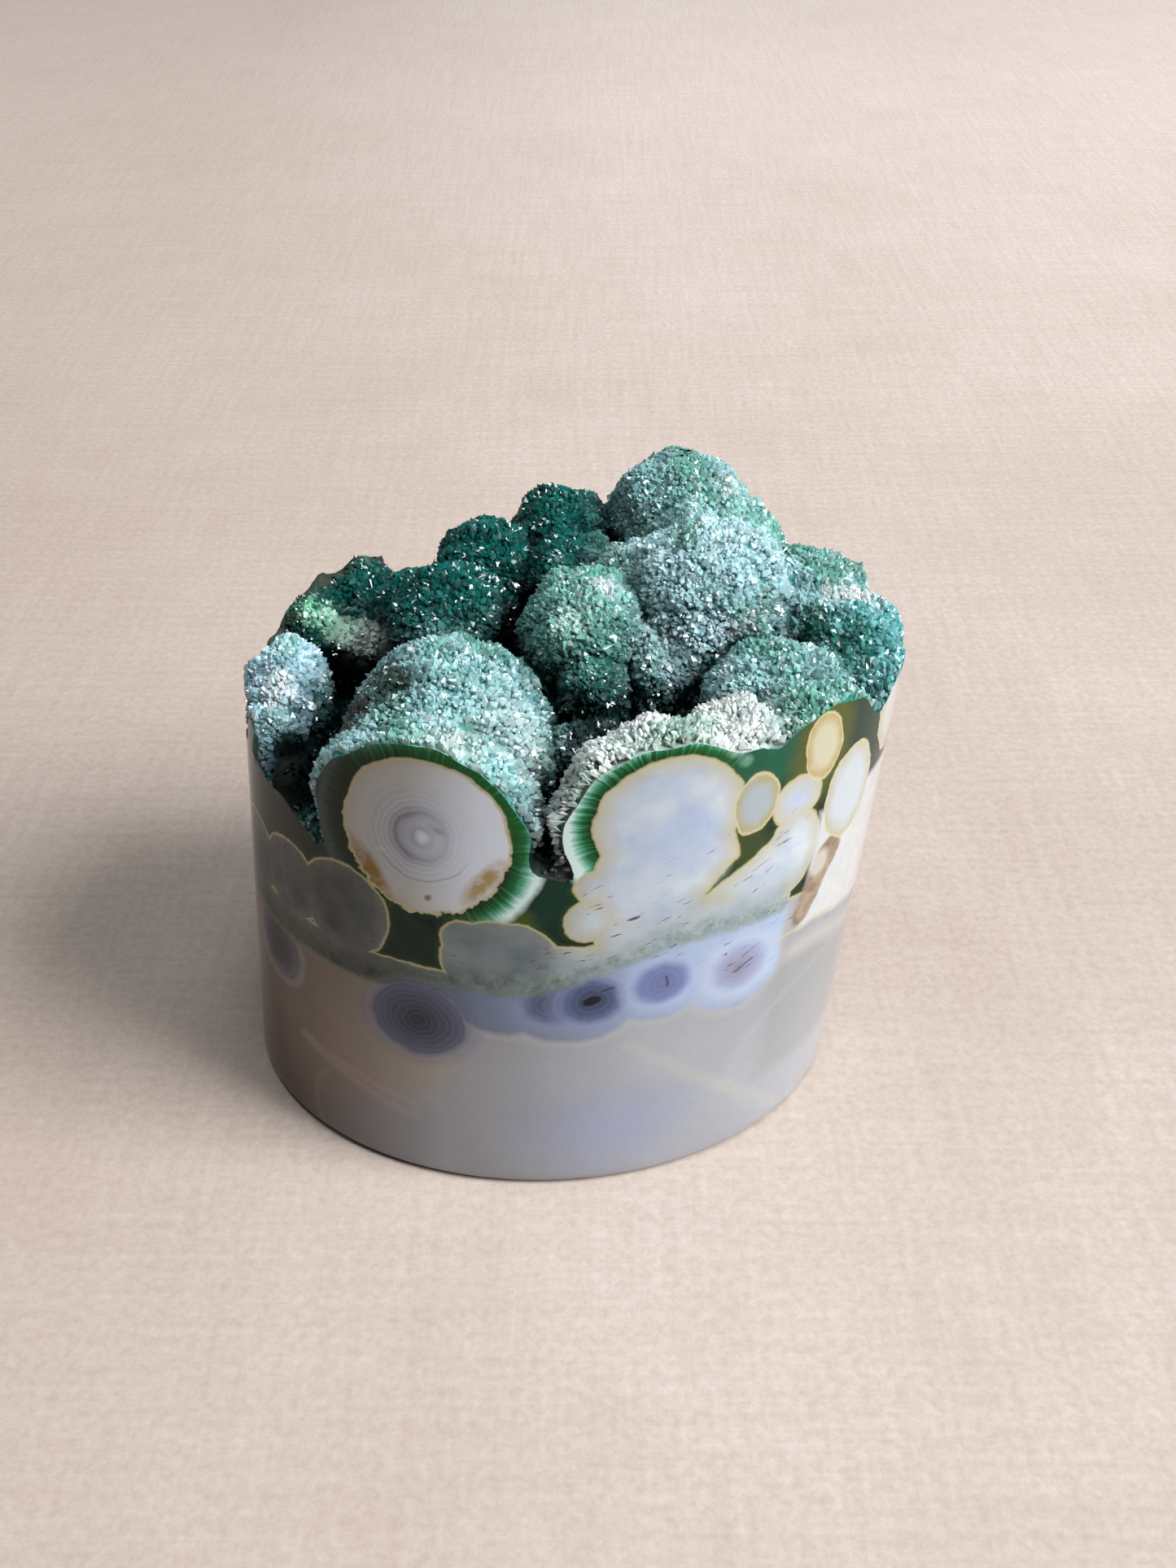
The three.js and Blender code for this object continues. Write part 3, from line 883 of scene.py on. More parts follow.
# %% Green chalcedony
GREEN_PLACES = [
    ((-5.6, 37.8), (5.0, 1.7), 2.0, 0.9, (70, 82, 26)),
    ((-1.0, 39.4), (1.8, 4.5), 2.4, 0.9, (0, 48, 38)),
    ((1.0, 36.6), (2.2, 2.6), 2.0, 0.8, (2, 28, 18)),
    ((-14.5, 33.0), (2.6, 2.6), 1.6, 0.8, (2, 38, 22)),
    ((-33.0, 40.0), (9.0, 3.2), 4.0, 0.85, (6, 22, 10)),
    ((-20.0, 43.0), (3.0, 6.0), 2.4, 0.8, (12, 48, 24)),
    ((18.6, 54.0), (5.5, 4.0), 3.0, 0.85, (24, 92, 68)),
    ((15.2, 56.3), (1.0, 0.8), 0.6, 0.9, (160, 184, 172)),
    ((16.4, 54.6), (0.7, 0.5), 0.5, 0.6, (130, 166, 150)),
    ((18.0, 44.0), (2.4, 2.2), 1.6, 0.6, (70, 82, 36)),
    ((32.0, 54.0), (5.0, 6.0), 4.0, 0.8, (34, 58, 48)),
    ((25.6, 53.0), (4.0, 6.4), 2.4, 0.9, (84, 88, 32)),
]


def green_ground(g, outline, outside):
    cloud = g.cloud(0.4, 5.0, 0.65)
    green = g.mix(g.rising(cloud, 0.38, 0.62), (0, 15, 9), (6, 46, 30))
    for centre, radii, softness, strength, tint in g.touching(GREEN_PLACES):
        spot = g.within(g.oval(centre, radii), softness) * strength
        green = g.mix(spot, green, g.mix(cloud * 0.5, tint, (12, 34, 26)))
    green = g.mix(g.stroke(outline, 0.4, 1.2) * 0.3, green, (84, 92, 44))
    g.lay(outside * g.rising(g.height, 29.6, 30.0), green)


print("other greens:", len(GREEN_PLACES))

# %% [markdown]
# Above the pools the green stone passes into quartz. Seen on the cut wall, this is a band round each
# orb, dark green against the orb, then brighter green fibres that all point away from its centre, then
# white crystal. The fibres are noise read along the angle round the orb, so they all run outwards.

# %% Fibre bands
MAIN_ORB = (-13.8, 46.3)
MAIN_RADII = (8.75, 9.05)
MAIN_BAND = 2.7
RIGHT_BAND = 2.1
BAND_STOPS = [
    (0.00, (6, 34, 12)), (0.22, (6, 62, 26)), (0.46, (16, 92, 48)),
    (0.68, (76, 146, 118)), (0.90, (158, 198, 190)), (1.00, (196, 220, 216)),
]
BAND_END = 3.5


def fibre_band(g, centre, radii, width, outside):
    reach = g.oval(centre, radii)
    across, up, unused = g.apart(g.vector("SUBTRACT", g.flat, (*centre, 0)))
    angle = g.math("ARCTAN2", up, across)
    sockets = {"W": angle * 18.0, "Scale": 1.0, "Detail": 3.0, "Roughness": 0.65}
    fibre = Value(g, g.add("TexNoise", {"noise_dimensions": "1D"}, sockets).outputs[0])
    ragged = reach + (fibre - 0.5) * 1.7
    tone = g.ramp(g.rising(ragged, 0.0, width), BAND_STOPS)
    tone = g.mix(g.rising(fibre, 0.5, 0.75) * 0.14, tone, (126, 176, 146))
    bright = g.rising(across + up, 6.0, 12.0) * g.rising(ragged, width * 0.7, 0.0)
    tone = g.mix(bright * 0.7, tone, (20, 94, 30))
    tone = g.mix(g.rising(g.along, -17.5, -22.0) * 0.92, tone, (8, 24, 12))
    there = g.within(reach - BAND_END, 0.8) * g.rising(g.height, 36.5, 38.5) * outside
    g.lay(there, tone)


# %% [markdown]
# The large orb on the left is the picture's eye. It grew in thin shells, so the cut shows rings: a
# white swirl in the middle, one dark ring, then pale ones that crowd together. A colour ramp over the
# distance from its centre holds them all. Golden stains sit inside its jagged cream rim.

# %% Ringed orb
RING_CENTRE = (-13.9, 46.5)
RING_RADII = (9.6, 9.6)
RINGS = [
    (0.0, (206, 210, 216)), (0.6, (182, 186, 196)), (1.0, (142, 146, 160)), (1.6, (158, 162, 172)),
    (2.3, (150, 152, 162)), (2.65, (126, 128, 138)), (2.9, (122, 124, 136)), (3.15, (154, 158, 166)),
    (3.4, (142, 144, 154)), (3.7, (170, 174, 180)), (3.95, (156, 158, 166)), (4.2, (174, 178, 182)),
    (4.5, (160, 162, 168)), (4.8, (174, 176, 178)), (5.15, (162, 164, 168)), (5.6, (172, 174, 174)),
    (6.0, (166, 168, 170)), (6.4, (174, 174, 172)), (8.0, (170, 168, 162)), (9.2, (166, 156, 134)),
]
ORB_STAINS = [
    ((-19.6, 41.0), (1.2, 3.6), 36.0, 2.0, 0.95, (128, 96, 28)),
    ((-7.5, 42.2), (1.0, 3.0), -36.0, 1.8, 0.9, (150, 122, 52)),
    ((-12.3, 47.7), (0.9, 0.35), -30.0, 0.8, 0.5, (134, 118, 80)),
    ((-13.1, 39.3), (0.45, 0.35), 0.0, 0.3, 0.8, (112, 76, 38)),
    ((-18.2, 43.9), (0.5, 0.35), 0.0, 0.3, 0.6, (200, 198, 196)),
]


def ringed_orb(g):
    teeth = g.cloud(0.95, 2.0, 0.6) - 0.5
    rim = g.oval(MAIN_ORB, MAIN_RADII) + teeth * g.rising(g.height, 52.0, 38.0) * 1.7
    share = g.share_out(g.oval(RING_CENTRE, RING_RADII), RING_RADII)
    rings = g.ramp(share, [(place / RING_RADII[0], tint) for place, tint in RINGS])
    rings = g.mix(g.rising(g.along, -15.5, -8.5) * 0.8, rings, (208, 216, 230))
    patches = g.mottle(0.7, 4.0, 0.65, 0.2, 0.5)
    for centre, radii, turned, softness, strength, tint in ORB_STAINS:
        spot = g.within(g.oval(centre, radii, turned), softness) * patches
        rings = g.mix(spot * strength, rings, tint)
    arc = g.stroke(g.oval(RING_CENTRE, (5.3, 5.3)), 0.1, 0.2) * g.rising(g.height, 45.0, 42.0)
    rings = g.mix(arc * 0.6, rings, (98, 78, 66))
    g.lay(g.within(rim), rings)
    g.lay(g.stroke(rim + 0.1, 0.34, 0.2) * 0.9, (176, 168, 132))


print("rings:", len(RINGS), "stains:", len(ORB_STAINS))

# %% [markdown]
# The smaller ovals on the right are whole orbs of their own, cut at a slant: each has a tan mottled
# margin and a blue-white heart, and stands on the green inside its own cream line. One function draws
# them all, and the orbs at the back. Below them the layers bend upwards to a clear brown wedge and a
# white body.

# %% Ovals on the right
RIGHT_OVALS = [
    ((18.3, 49.1), (2.3, 3.5), 0.0, (154, 146, 108), (150, 160, 166), 0.7),
    ((25.7, 53.1), (2.3, 4.1), 14.0, (156, 134, 76), (176, 172, 148), 0.76),
    ((31.4, 45.1), (3.9, 5.8), 10.0, (162, 156, 128), (172, 180, 186), 0.8),
    ((38.6, 51.0), (3.0, 5.6), 18.0, (164, 156, 134), (176, 178, 176), 0.7),
]
BACK_OVAL = (0.0, (156, 144, 114), (158, 160, 166), 0.7)


def slanted_oval(g, centre, radii, turned, margin, heart, heart_share):
    rim = g.oval(centre, radii, turned)
    share = g.share_out(rim, radii)
    edge_tone = g.mix(g.mottle(0.9, 4.0, 0.65, 0.35, 0.65) * 0.5, margin, heart)
    body = g.mix(g.rising(share, heart_share - 0.2, heart_share + 0.15), heart, edge_tone)
    g.lay(g.within(rim), body)
    g.lay(g.stroke(rim, 0.26, 0.16) * 0.85, (182, 174, 138))


def right_side(g):
    past = g.along - 26.0
    fade = g.rising(g.along, 62.0, 48.0)
    lower = g.rising(g.along, 30.0, 40.0) * -3.0 + 29.6
    white = g.within(g.largest(27.0 - g.along, g.height - 44.5, lower - g.height), 0.9)
    g.lay(white * fade, g.mix(g.cloud(0.5, 4.0, 0.6), (166, 170, 172), (194, 196, 196)))
    second = g.rising(g.along, 30.0, 38.0) * -2.6 + 26.6
    soft_line = g.stroke(second - g.height, 1.6, 2.4) * g.rising(past, -1.5, 1.0)
    g.lay(soft_line * fade * 0.6, (178, 176, 168))
    brown = g.mix(g.mottle(0.5, 3.0, 0.6, 0.35, 0.65), (118, 100, 82), (150, 136, 118))
    g.lay(g.within(g.spindle((26.9, 31.4), (29.7, 38.4), 1.3, 1.9), 0.5), brown)
    g.lay(g.within(g.oval((28.4, 37.6), (1.3, 1.5)), 0.7) * 0.8, (178, 176, 168))
    cream_line = g.stroke(lower - g.height, 0.3, 0.5) * g.rising(past, -3.0, -2.0)
    g.lay(cream_line * fade * 0.8, (180, 172, 144))


print("ovals on the right:", len(RIGHT_OVALS))

# %% [markdown]
# All the layers now go on in the order in which they overlap, with a thin cream line along the whole
# outline of the pale orbs. The wall is polished, so it is smooth, and light enters chalcedony a little
# before it comes back, which a small constant amount of subsurface scattering gives. The renderer can
# hold only so many values at once for one material, and a wall with every mark in it comes out black.
# So the wall is four materials side by side, each with the marks that touch its part.

# %% Jasper
JASPER_IOR = 1.54
CREAM = (170, 166, 124)
PARTS = {
    "jasper_back_left": (-98.0, -50.0), "jasper_front_left": (-50.0, -1.4),
    "jasper_front_right": (-1.4, 63.0), "jasper_back_right": (63.0, 98.0),
}


def jasper(name, ends):
    g = WallGraph(name, ends)
    outline = pale_outline(g)
    outside = g.rising(outline, -0.06, 0.06)
    grey_chalcedony(g)
    lavender_layer(g)
    if g.holds(RIGHT_ORB):
        lavender_marks(g)
    mossy_layer(g)
    pale_lobes(g, outline)
    if not g.holds(MAIN_ORB) and not g.holds(RIGHT_ORB):
        plain_back(g)
    green_ground(g, outline, outside)
    if g.holds(RIGHT_ORB):
        fibre_band(g, RIGHT_ORB, RIGHT_RADII, RIGHT_BAND, outside * g.rising(g.along, 17.0, 13.0))
    if g.holds(MAIN_ORB):
        fibre_band(g, MAIN_ORB, MAIN_RADII, MAIN_BAND, outside)
    g.lay(g.stroke(outline, 0.28, 0.2) * g.rising(g.height, 29.3, 29.9) * 0.85, CREAM)
    if g.holds(RIGHT_ORB):
        right_side(g)
        for oval in RIGHT_OVALS:
            slanted_oval(g, *oval)
    for orb in g.touching(back_orbs):
        slanted_oval(g, *orb, *BACK_OVAL)
    if g.holds(MAIN_ORB):
        ringed_orb(g)
    print(name, "nodes:", len(g.tree.nodes))
    return g.surface(g.principled({
        "Base Color": g.colour, "Roughness": g.cloud(0.2, 2.0, 0.5) * 0.05 + 0.07, "IOR": JASPER_IOR,
        "Specular IOR Level": 0.14, "Coat Weight": 0.03, "Coat Roughness": 0.03,
        "Subsurface Weight": 0.08, "Subsurface Radius": (1.0, 1.0, 1.0), "Subsurface Scale": 0.8 * MM,
    }))


stone.data.materials.clear()
for name, ends in PARTS.items():
    stone.data.materials.append(jasper(name, ends))

# %% [markdown]
# Inside the hollow the stone shows between the crystals as a rough skin. Its tint is an attribute of
# the mesh, set further down from the look of the lobe at that place, and two noises darken it in
# patches. Each face of the stone then gets the number of its finish: the skin, or the part of the
# wall that it lies in.

# %% Hollow skin
WALL_SHARE = 0.9985


def hollow_skin():
    g = Graph("hollow_skin")
    skin = g.add("Attribute", {"attribute_name": "skin"}).outputs["Color"]
    skin = g.mix(g.mottle(0.16, 3.0, 0.6, 0.35, 0.65) * 0.25, skin, g.mix(0.6, skin, (8, 52, 44)))
    skin = g.mix(g.mottle(1.2, 3.0, 0.6, 0.35, 0.65) * 0.4, skin, g.mix(0.7, skin, (0, 10, 9)))
    grain = {"Height": g.cloud(2.2, 3.0, 0.6), "Distance": 0.3 * MM, "Strength": 0.6}
    return g.surface(g.principled({
        "Base Color": skin, "Roughness": 0.55, "Normal": g.add("Bump", {}, grain).outputs[0],
        "IOR": JASPER_IOR, "Specular IOR Level": 0.12,
    }))


def sort_faces(thing):
    centres = np.empty(len(thing.data.polygons) * 3)
    thing.data.polygons.foreach_get("center", centres)
    centres = centres.reshape(-1, 3) / MM
    across = (centres[:, 0] - BASE_X - LEAN * centres[:, 2]) / HALF_WIDTH
    turn = np.arctan2(across, -centres[:, 1] / HALF_DEPTH)
    along = turn * ARC_SCALE + ARC_SWAY * np.sin(2 * turn)
    hollow = (off_axis(centres) < WALL_SHARE) & (centres[:, 2] > ROOT_LEVEL)
    part = np.digitize(along, [end for start, end in PARTS.values()][:-1])
    finish = np.where(hollow, len(PARTS), part).astype(np.int32)
    thing.data.polygons.foreach_set("material_index", finish)
    print("faces of each part of the wall, then of the hollow:", np.bincount(finish).tolist())


stone.data.materials.append(hollow_skin())
sort_faces(stone)
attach(stone, "root")
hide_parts("polished_jasper")

# %% [markdown]
# The crystals are small quartz points that stand close together on every lobe, most of them about
# half a millimetre wide. A point is a six-sided column with six faces that meet at a tip. Points are
# spread evenly over each egg by the sunflower spiral, kept only where no other egg covers them, and
# turned a little off the skin's direction. More of them cover the hollow's floor between the eggs.

# %% Crystal places
CRYSTAL_AREA = 0.145
CRYSTAL_COVER = 0.99
GOLDEN_TURN = math.pi * (3 - math.sqrt(5))
AREA_POWER = 1.6075
PLACE_JITTER = 0.18
FLOOR_JITTER = 0.4
FLOOR_MARGIN = 0.6
crystal_random = np.random.default_rng(23)


def egg_area(radii, reach):
    """About the surface of an egg, by a short formula for an ellipsoid of the same mean height."""
    a, b, c = radii[0], radii[1], (radii[2] + reach) / 2
    mean = ((a * b) ** AREA_POWER + (a * c) ** AREA_POWER + (b * c) ** AREA_POWER) / 3
    return 4 * math.pi * mean ** (1 / AREA_POWER)


def spiral_points(count):
    """Points spread evenly over a ball of radius 1, from its top down."""
    steps = np.arange(count) + 0.5
    height = 1 - 2 * steps / count
    ring = np.sqrt(1 - height ** 2)
    turn = steps * GOLDEN_TURN
    return np.stack([ring * np.cos(turn), ring * np.sin(turn), height], axis=1)


def egg_crystals(number):
    """Points on one egg that no other egg covers, above the hollow's floor and inside the wall."""
    centre, radii, look = LUMPS[number]
    unit = spiral_points(int(egg_area(radii, root_reach(centre, radii)) / CRYSTAL_AREA))
    unit += crystal_random.normal(scale=PLACE_JITTER / np.mean(radii), size=unit.shape)
    unit /= np.linalg.norm(unit, axis=1)[:, None]
    sizes = egg_radii(centre[2] + unit[:, 2], centre, radii)
    points = centre + unit * sizes
    normals = unit / sizes
    normals /= np.linalg.norm(normals, axis=1)[:, None]
    points += normals * swelling(points)[:, None]
    keep = (points[:, 2] > FLOOR_LEVEL - FLOOR_MARGIN) & (off_axis(points) < 1.0)
    for other, (other_centre, other_radii, other_look) in enumerate(LUMPS):
        if other != number:
            keep &= egg_share(points, other_centre, other_radii) > CRYSTAL_COVER
    return points[keep], normals[keep]


def floor_crystals():
    """Points over the hollow's floor, where no egg stands."""
    step = math.sqrt(CRYSTAL_AREA)
    grid = np.stack(np.meshgrid(np.arange(-36, 36, step), np.arange(-28, 28, step)), axis=-1).reshape(-1, 2)
    grid += crystal_random.uniform(-FLOOR_JITTER, FLOOR_JITTER, grid.shape) * step
    points = np.column_stack([grid, np.full(len(grid), FLOOR_LEVEL)])
    keep = off_axis(points) < 1.0
    for centre, radii, look in LUMPS:
        keep &= egg_share(points, centre, radii) > 1.0
    return points[keep], np.tile((0.0, 0.0, 1.0), (keep.sum(), 1))


print("crystal area in square mm:", CRYSTAL_AREA)

# %% [markdown]
# Colour in the hollow changes from lobe to lobe: frosty grey-white on top, mint at the front, deep
# teal in the crevices, where the nearly black teal of the rock is partly painted shade. A look is the
# tint at a point's tip, the tint at its root and of the skin under it, how clouded it is, and how
# large. Light tips over dark roots are partly the quartz's own colour and partly painted light and
# shade. Neighbouring lobes' looks run into one another over a millimetre or two, as the stone has no
# borders there. Spots change them locally, such as a brown-grey patch on the big lobe and a white
# streak on the right, which is a painted highlight. The holes are painted black as their shade, and
# nearly bare.

# %% Crystal looks
# light tips over dark roots: partly the quartz's colour, partly painted light and shade
LOOKS = {
    "white": ((254, 255, 255), (226, 248, 242), 0.88, 0.85),
    "mint_white": ((206, 246, 248), (104, 190, 188), 0.70, 1.05),
    "bluish_white": ((206, 240, 252), (100, 178, 192), 0.72, 1.0),
    "frosty": ((220, 250, 255), (92, 174, 182), 0.74, 1.0),
    "grey_green": ((178, 226, 228), (62, 144, 144), 0.68, 1.0),
    "pale_green": ((160, 226, 216), (32, 134, 114), 0.66, 1.0),
    "pale_teal": ((146, 224, 226), (24, 136, 136), 0.66, 1.05),
    "deep_teal": ((14, 128, 120), (0, 50, 42), 0.54, 0.95),
    # nearly black: the rock between the lobes, partly its deep green and partly painted shade
    "dark_teal": ((0, 50, 48), (0, 10, 9), 0.50, 0.95),
    # the bare rim is painted dark, partly as the shade it stands in
    "bare": ((64, 62, 54), (56, 54, 46), 0.90, 1.0),
}
SPOTS = [
    ((-17.4, -9.8, 54.6), 5.2, 0.90, (74, 92, 84), 0.75),
    ((-15.0, -14.6, 57.2), 4.6, 1.00, (40, 58, 42), 0.75),
    ((-16.2, -12.4, 56.2), 3.6, 1.00, (36, 54, 40), 0.75),
    ((-18.6, -15.4, 54.8), 4.0, 1.00, (62, 64, 64), 0.80),
    ((-20.8, -14.6, 52.6), 4.4, 1.00, (70, 70, 74), 0.80),
    ((-2.9, -18.7, 54.1), 6.5, 0.75, (226, 246, 246), 0.80),
    ((-9.0, -24.7, 56.9), 4.5, 0.75, (228, 246, 244), 0.80),
    # painted highlight: the white streak on the right
    ((31.7, 2.5, 57.1), 2.6, 1.00, (250, 252, 250), 0.95),
    ((28.6, 2.0, 57.6), 1.6, 0.90, (246, 250, 248), 0.90),
    ((26.6, -1.3, 55.4), 3.0, 0.70, (36, 150, 110), 0.50),
    ((29.6, -4.4, 55.3), 2.6, 0.70, (24, 120, 100), 0.50),
    ((19.3, -4.4, 57.3), 1.7, 0.90, (226, 242, 242), 0.80),
    ((16.7, -5.1, 57.2), 1.4, 0.80, (222, 236, 242), 0.80),
    ((-27.8, -7.8, 52.2), 2.8, 0.90, (244, 250, 252), 0.85),
    ((5.3, -1.5, 60.3), 2.2, 0.80, (234, 240, 248), 0.85),
    ((1.6, -4.8, 58.4), 2.8, 0.80, (206, 240, 230), 0.75),
    ((19.0, 14.4, 63.4), 3.0, 0.75, (226, 244, 240), 0.80),
    ((17.0, 11.5, 61.5), 1.6, 0.70, (60, 150, 104), 0.50),
    ((-27.0, 10.2, 50.8), 2.4, 1.00, (140, 224, 184), 0.80),
    ((-25.0, 9.0, 50.2), 2.8, 1.00, (176, 244, 214), 0.88),
    ((-22.6, 8.2, 49.4), 3.2, 1.00, (210, 252, 232), 0.95),
    ((-20.2, 7.6, 48.4), 3.2, 1.00, (240, 255, 248), 0.95),
]
HOLES = [
    ((-26.0, -13.5, 45.5), (3.4, 5.0, 5.0)), ((-24.0, 5.4, 46.2), (3.6, 2.8, 2.4)),
    ((-20.6, 4.6, 46.0), (2.6, 2.6, 2.4)), ((-4.6, 3.2, 51.0), (2.4, 4.0, 5.0)),
]
LOOK_BLEND = 1.0
print("looks:", len(LOOKS), "spots:", len(SPOTS), "holes:", len(HOLES))

# %% [markdown]
# Depth matters as much as place. A point sees less of the sky the deeper it lies between the lobes, so
# its tints are dimmed by a count of clear directions, which is painted shade, and towards the floor
# everything turns to a nearly black teal, partly the quartz's deeper green and partly painted shade.
# Soft patches of green break up the wide lobes.

# %% Tints at a point
OPEN_STEPS = (1.8, 4.0, 7.0, 11.0)
OPEN_DIRECTIONS = 12
OPEN_TONES = ((0.15, 0.35, 0.75), (0.04, 0.45, 1.0))
DEEP_TINT = linear((0, 40, 36))
DEEP_HEIGHTS = (44.0, 51.0)
DEEP_SHARES = (0.95, 0.0)
RIM_SHARE = 0.93
RIM_DEPTH = 0.25
HOLE_SLOPE = 4
SPOT_SLOPE = 1.4
GREEN_PATCHES = 0.55
PATCH_TINT = linear((86, 184, 150))
ROOT_SHARE = 0.3
SPOT_WANDER = 1.6


def in_hole(points):
    """How far each point lies in one of the black holes, from 0 at its edge to 1."""
    shares = [np.linalg.norm((points - centre) / radii, axis=1) for centre, radii in HOLES]
    return np.clip((1 - np.min(shares, axis=0)) * HOLE_SLOPE, 0, 1)


def how_open(points):
    """How much of the sky each point sees past the lobes, from 0 to 1."""
    seen = np.zeros(len(points))
    for direction in spiral_points(2 * OPEN_DIRECTIONS)[:OPEN_DIRECTIONS]:
        clear = np.ones(len(points), bool)
        for step in OPEN_STEPS:
            for centre, radii, look in LOBES:
                clear &= egg_share(points + direction * step, centre, radii) > 1.0
        seen += clear
    return seen / OPEN_DIRECTIONS


def blend(first, second, share):
    return first * (1 - share) + second * share


def blended_looks(points, sky_share):
    """The tip tint, root tint, cloudedness and size at every point, blended over the nearest lobes."""
    shares = np.stack([egg_share(points, centre, radii) for centre, radii, look in LUMPS])
    girths = np.array([np.mean(radii) for centre, radii, look in LUMPS])
    weights = np.exp((shares.min(axis=0) - shares) * girths[:, None] / LOOK_BLEND)
    weights = (weights / weights.sum(axis=0)).T
    looks = [LOOKS[look] for centre, radii, look in LUMPS]
    rows = [(linear(tip), linear(root), frost, size) for tip, root, frost, size in looks]
    tips, roots, frost, sizes = (weights @ np.array(column) for column in zip(*rows))
    frost = frost[:, None]
    greener = np.clip(swelling(points[:, [2, 0, 1]] * 0.5) * 1.8 - 0.1, 0, GREEN_PATCHES)[:, None]
    greener = greener * np.clip(tips[:, :1] * 2, 0, 1)
    # painted shade: tints dimmed where little sky is seen
    openness = np.interp(sky_share, *OPEN_TONES)[:, None]
    # darker towards the floor: partly the quartz's deeper green, partly painted shade
    depth = np.interp(points[:, 2] + swelling(points * 0.6) * 2, DEEP_HEIGHTS, DEEP_SHARES)
    depth = np.where(off_axis(points) > RIM_SHARE, depth * RIM_DEPTH, depth)[:, None]
    tips = blend(blend(tips, PATCH_TINT, greener) * openness, DEEP_TINT, depth)
    roots = blend(roots, PATCH_TINT * ROOT_SHARE, greener) * openness
    roots = blend(roots, DEEP_TINT * ROOT_SHARE, depth)
    for centre, reach, strength, levels, spot_frost in SPOTS:
        away = np.linalg.norm(points - centre, axis=1) + swelling(points * 2.3) * SPOT_WANDER
        share = (np.clip(SPOT_SLOPE - SPOT_SLOPE * away / reach, 0, 1) * strength)[:, None]
        tips = blend(tips, linear(levels), share)
        roots = roots * (1 - share * 0.6) + linear(levels) * share * 0.4
        frost = blend(frost, spot_frost, share)
    # painted shade: the holes are painted black
    lit = 1 - in_hole(points)[:, None]
    return tips * lit, roots * lit, frost[:, 0], sizes


def paint_skin(thing):
    """Gives the stone's skin the tint that belongs to the lobe under each of its points, with the painted
    shade of depth and of the holes.
    """
    count = len(thing.data.vertices)
    points = np.empty(count * 3, np.float32)
    thing.data.vertices.foreach_get("co", points)
    points = points.reshape(-1, 3) / MM
    skin = np.ones((count, 4), np.float32)
    skin[:, :3] = blended_looks(points, how_open(points))[1]
    layer = thing.data.attributes.new("skin", "FLOAT_COLOR", "POINT")
    layer.data.foreach_set("color", skin.ravel())
    print("mean skin tint:", np.round(skin[:, :3].mean(axis=0).astype(float), 3).tolist())


paint_skin(stone)

# %% [markdown]
# Now the points are gathered. Few are kept in the holes and where hardly any sky is seen. On an
# upright flank a point shows more of its root than of its tip, which is partly painted shade. Some
# points higher up are painted whiter than the rest as painted highlights, and those of the white lobes
# are longer.

# %% Gather the crystals
DARK_SHARE = 0.22
DARK_KEPT = 0.12
FLANK_SHADE = 0.35
GLINT_SHARE = 0.16
GLINT_ABOVE = 45
GLINT_RISE = 5
LONG_RISE = 1.2


def gather_crystals():
    groups = [(*egg_crystals(number), lump[2]) for number, lump in enumerate(LUMPS) if lump[2] != "bare"]
    groups.append((*floor_crystals(), "dark_teal"))
    points = np.concatenate([group[0] for group in groups])
    normals = np.concatenate([group[1] for group in groups])
    looks = np.concatenate([[look] * len(found) for found, away, look in groups])
    rises = np.where(looks == "white", LONG_RISE, 1.0)
    sky_share = how_open(points)
    bare = (sky_share < DARK_SHARE) | (in_hole(points) > 0.5)
    kept = ~bare | (crystal_random.random(len(points)) < DARK_KEPT)
    points, normals, rises, sky_share = points[kept], normals[kept], rises[kept], sky_share[kept]
    tips, roots, frost, sizes = blended_looks(points, sky_share)
    # partly painted shade: flanks show their darker roots
    flank = (FLANK_SHADE * (1 - np.clip(normals[:, 2], 0, 1)))[:, None]
    tips = blend(tips, roots, flank)
    # painted highlights: some points higher up are painted whiter
    chosen = crystal_random.random(len(points)) < GLINT_SHARE
    painted_glint = chosen * np.clip(points[:, 2] - GLINT_ABOVE, 0, GLINT_RISE) / GLINT_RISE
    tips += (1 - tips) * (0.5 * painted_glint * np.clip(tips[:, 0] * 3, 0.2, 1))[:, None]
    return points, normals, tips, roots, frost, sizes, rises


places, outwards, tip_tints, root_tints, frosts, look_sizes, tip_rises = gather_crystals()
print("crystals:", len(places))

# %% [markdown]
# The mesh of all points is built at once with arrays. Only the tip of a crystal and its six shoulders
# ever show, so below the shoulders it narrows to one foot buried in the skin, which gives eight
# corners and twelve triangles. Three of the tip's faces are large and three small, so its shoulders
# are uneven. Most crystals are small and a few are large, as on the stone. Corners that would stand
# outside the wall are moved onto it, as the saw cut them off.

# %% Crystal corners
SIDES = 6
CORNERS = SIDES + 2
FOOT_DEPTH = 1.7
TILT = 0.30
HALF_SPAN = (0.22, 0.54)
SHOULDER = (-0.48, -0.30)
TIP_RISE = (0.9, 1.5)
SIDE_JITTER = 0.18
SHOULDER_STEP = 0.24
SHOULDER_JITTER = 0.15
TIP_LEAN = 0.25
TOP_LIMIT = cad_box[1][2] / MM - 0.02
SIDE_LIMITS = (cad_box[0][0] / MM + 0.01, cad_box[1][0] / MM - 0.01)
WALL_INSET = 0.0008


def spread(low_high, *size):
    return crystal_random.uniform(*low_high, size)


def either_way(most, *size):
    return spread((-most, most), *size)


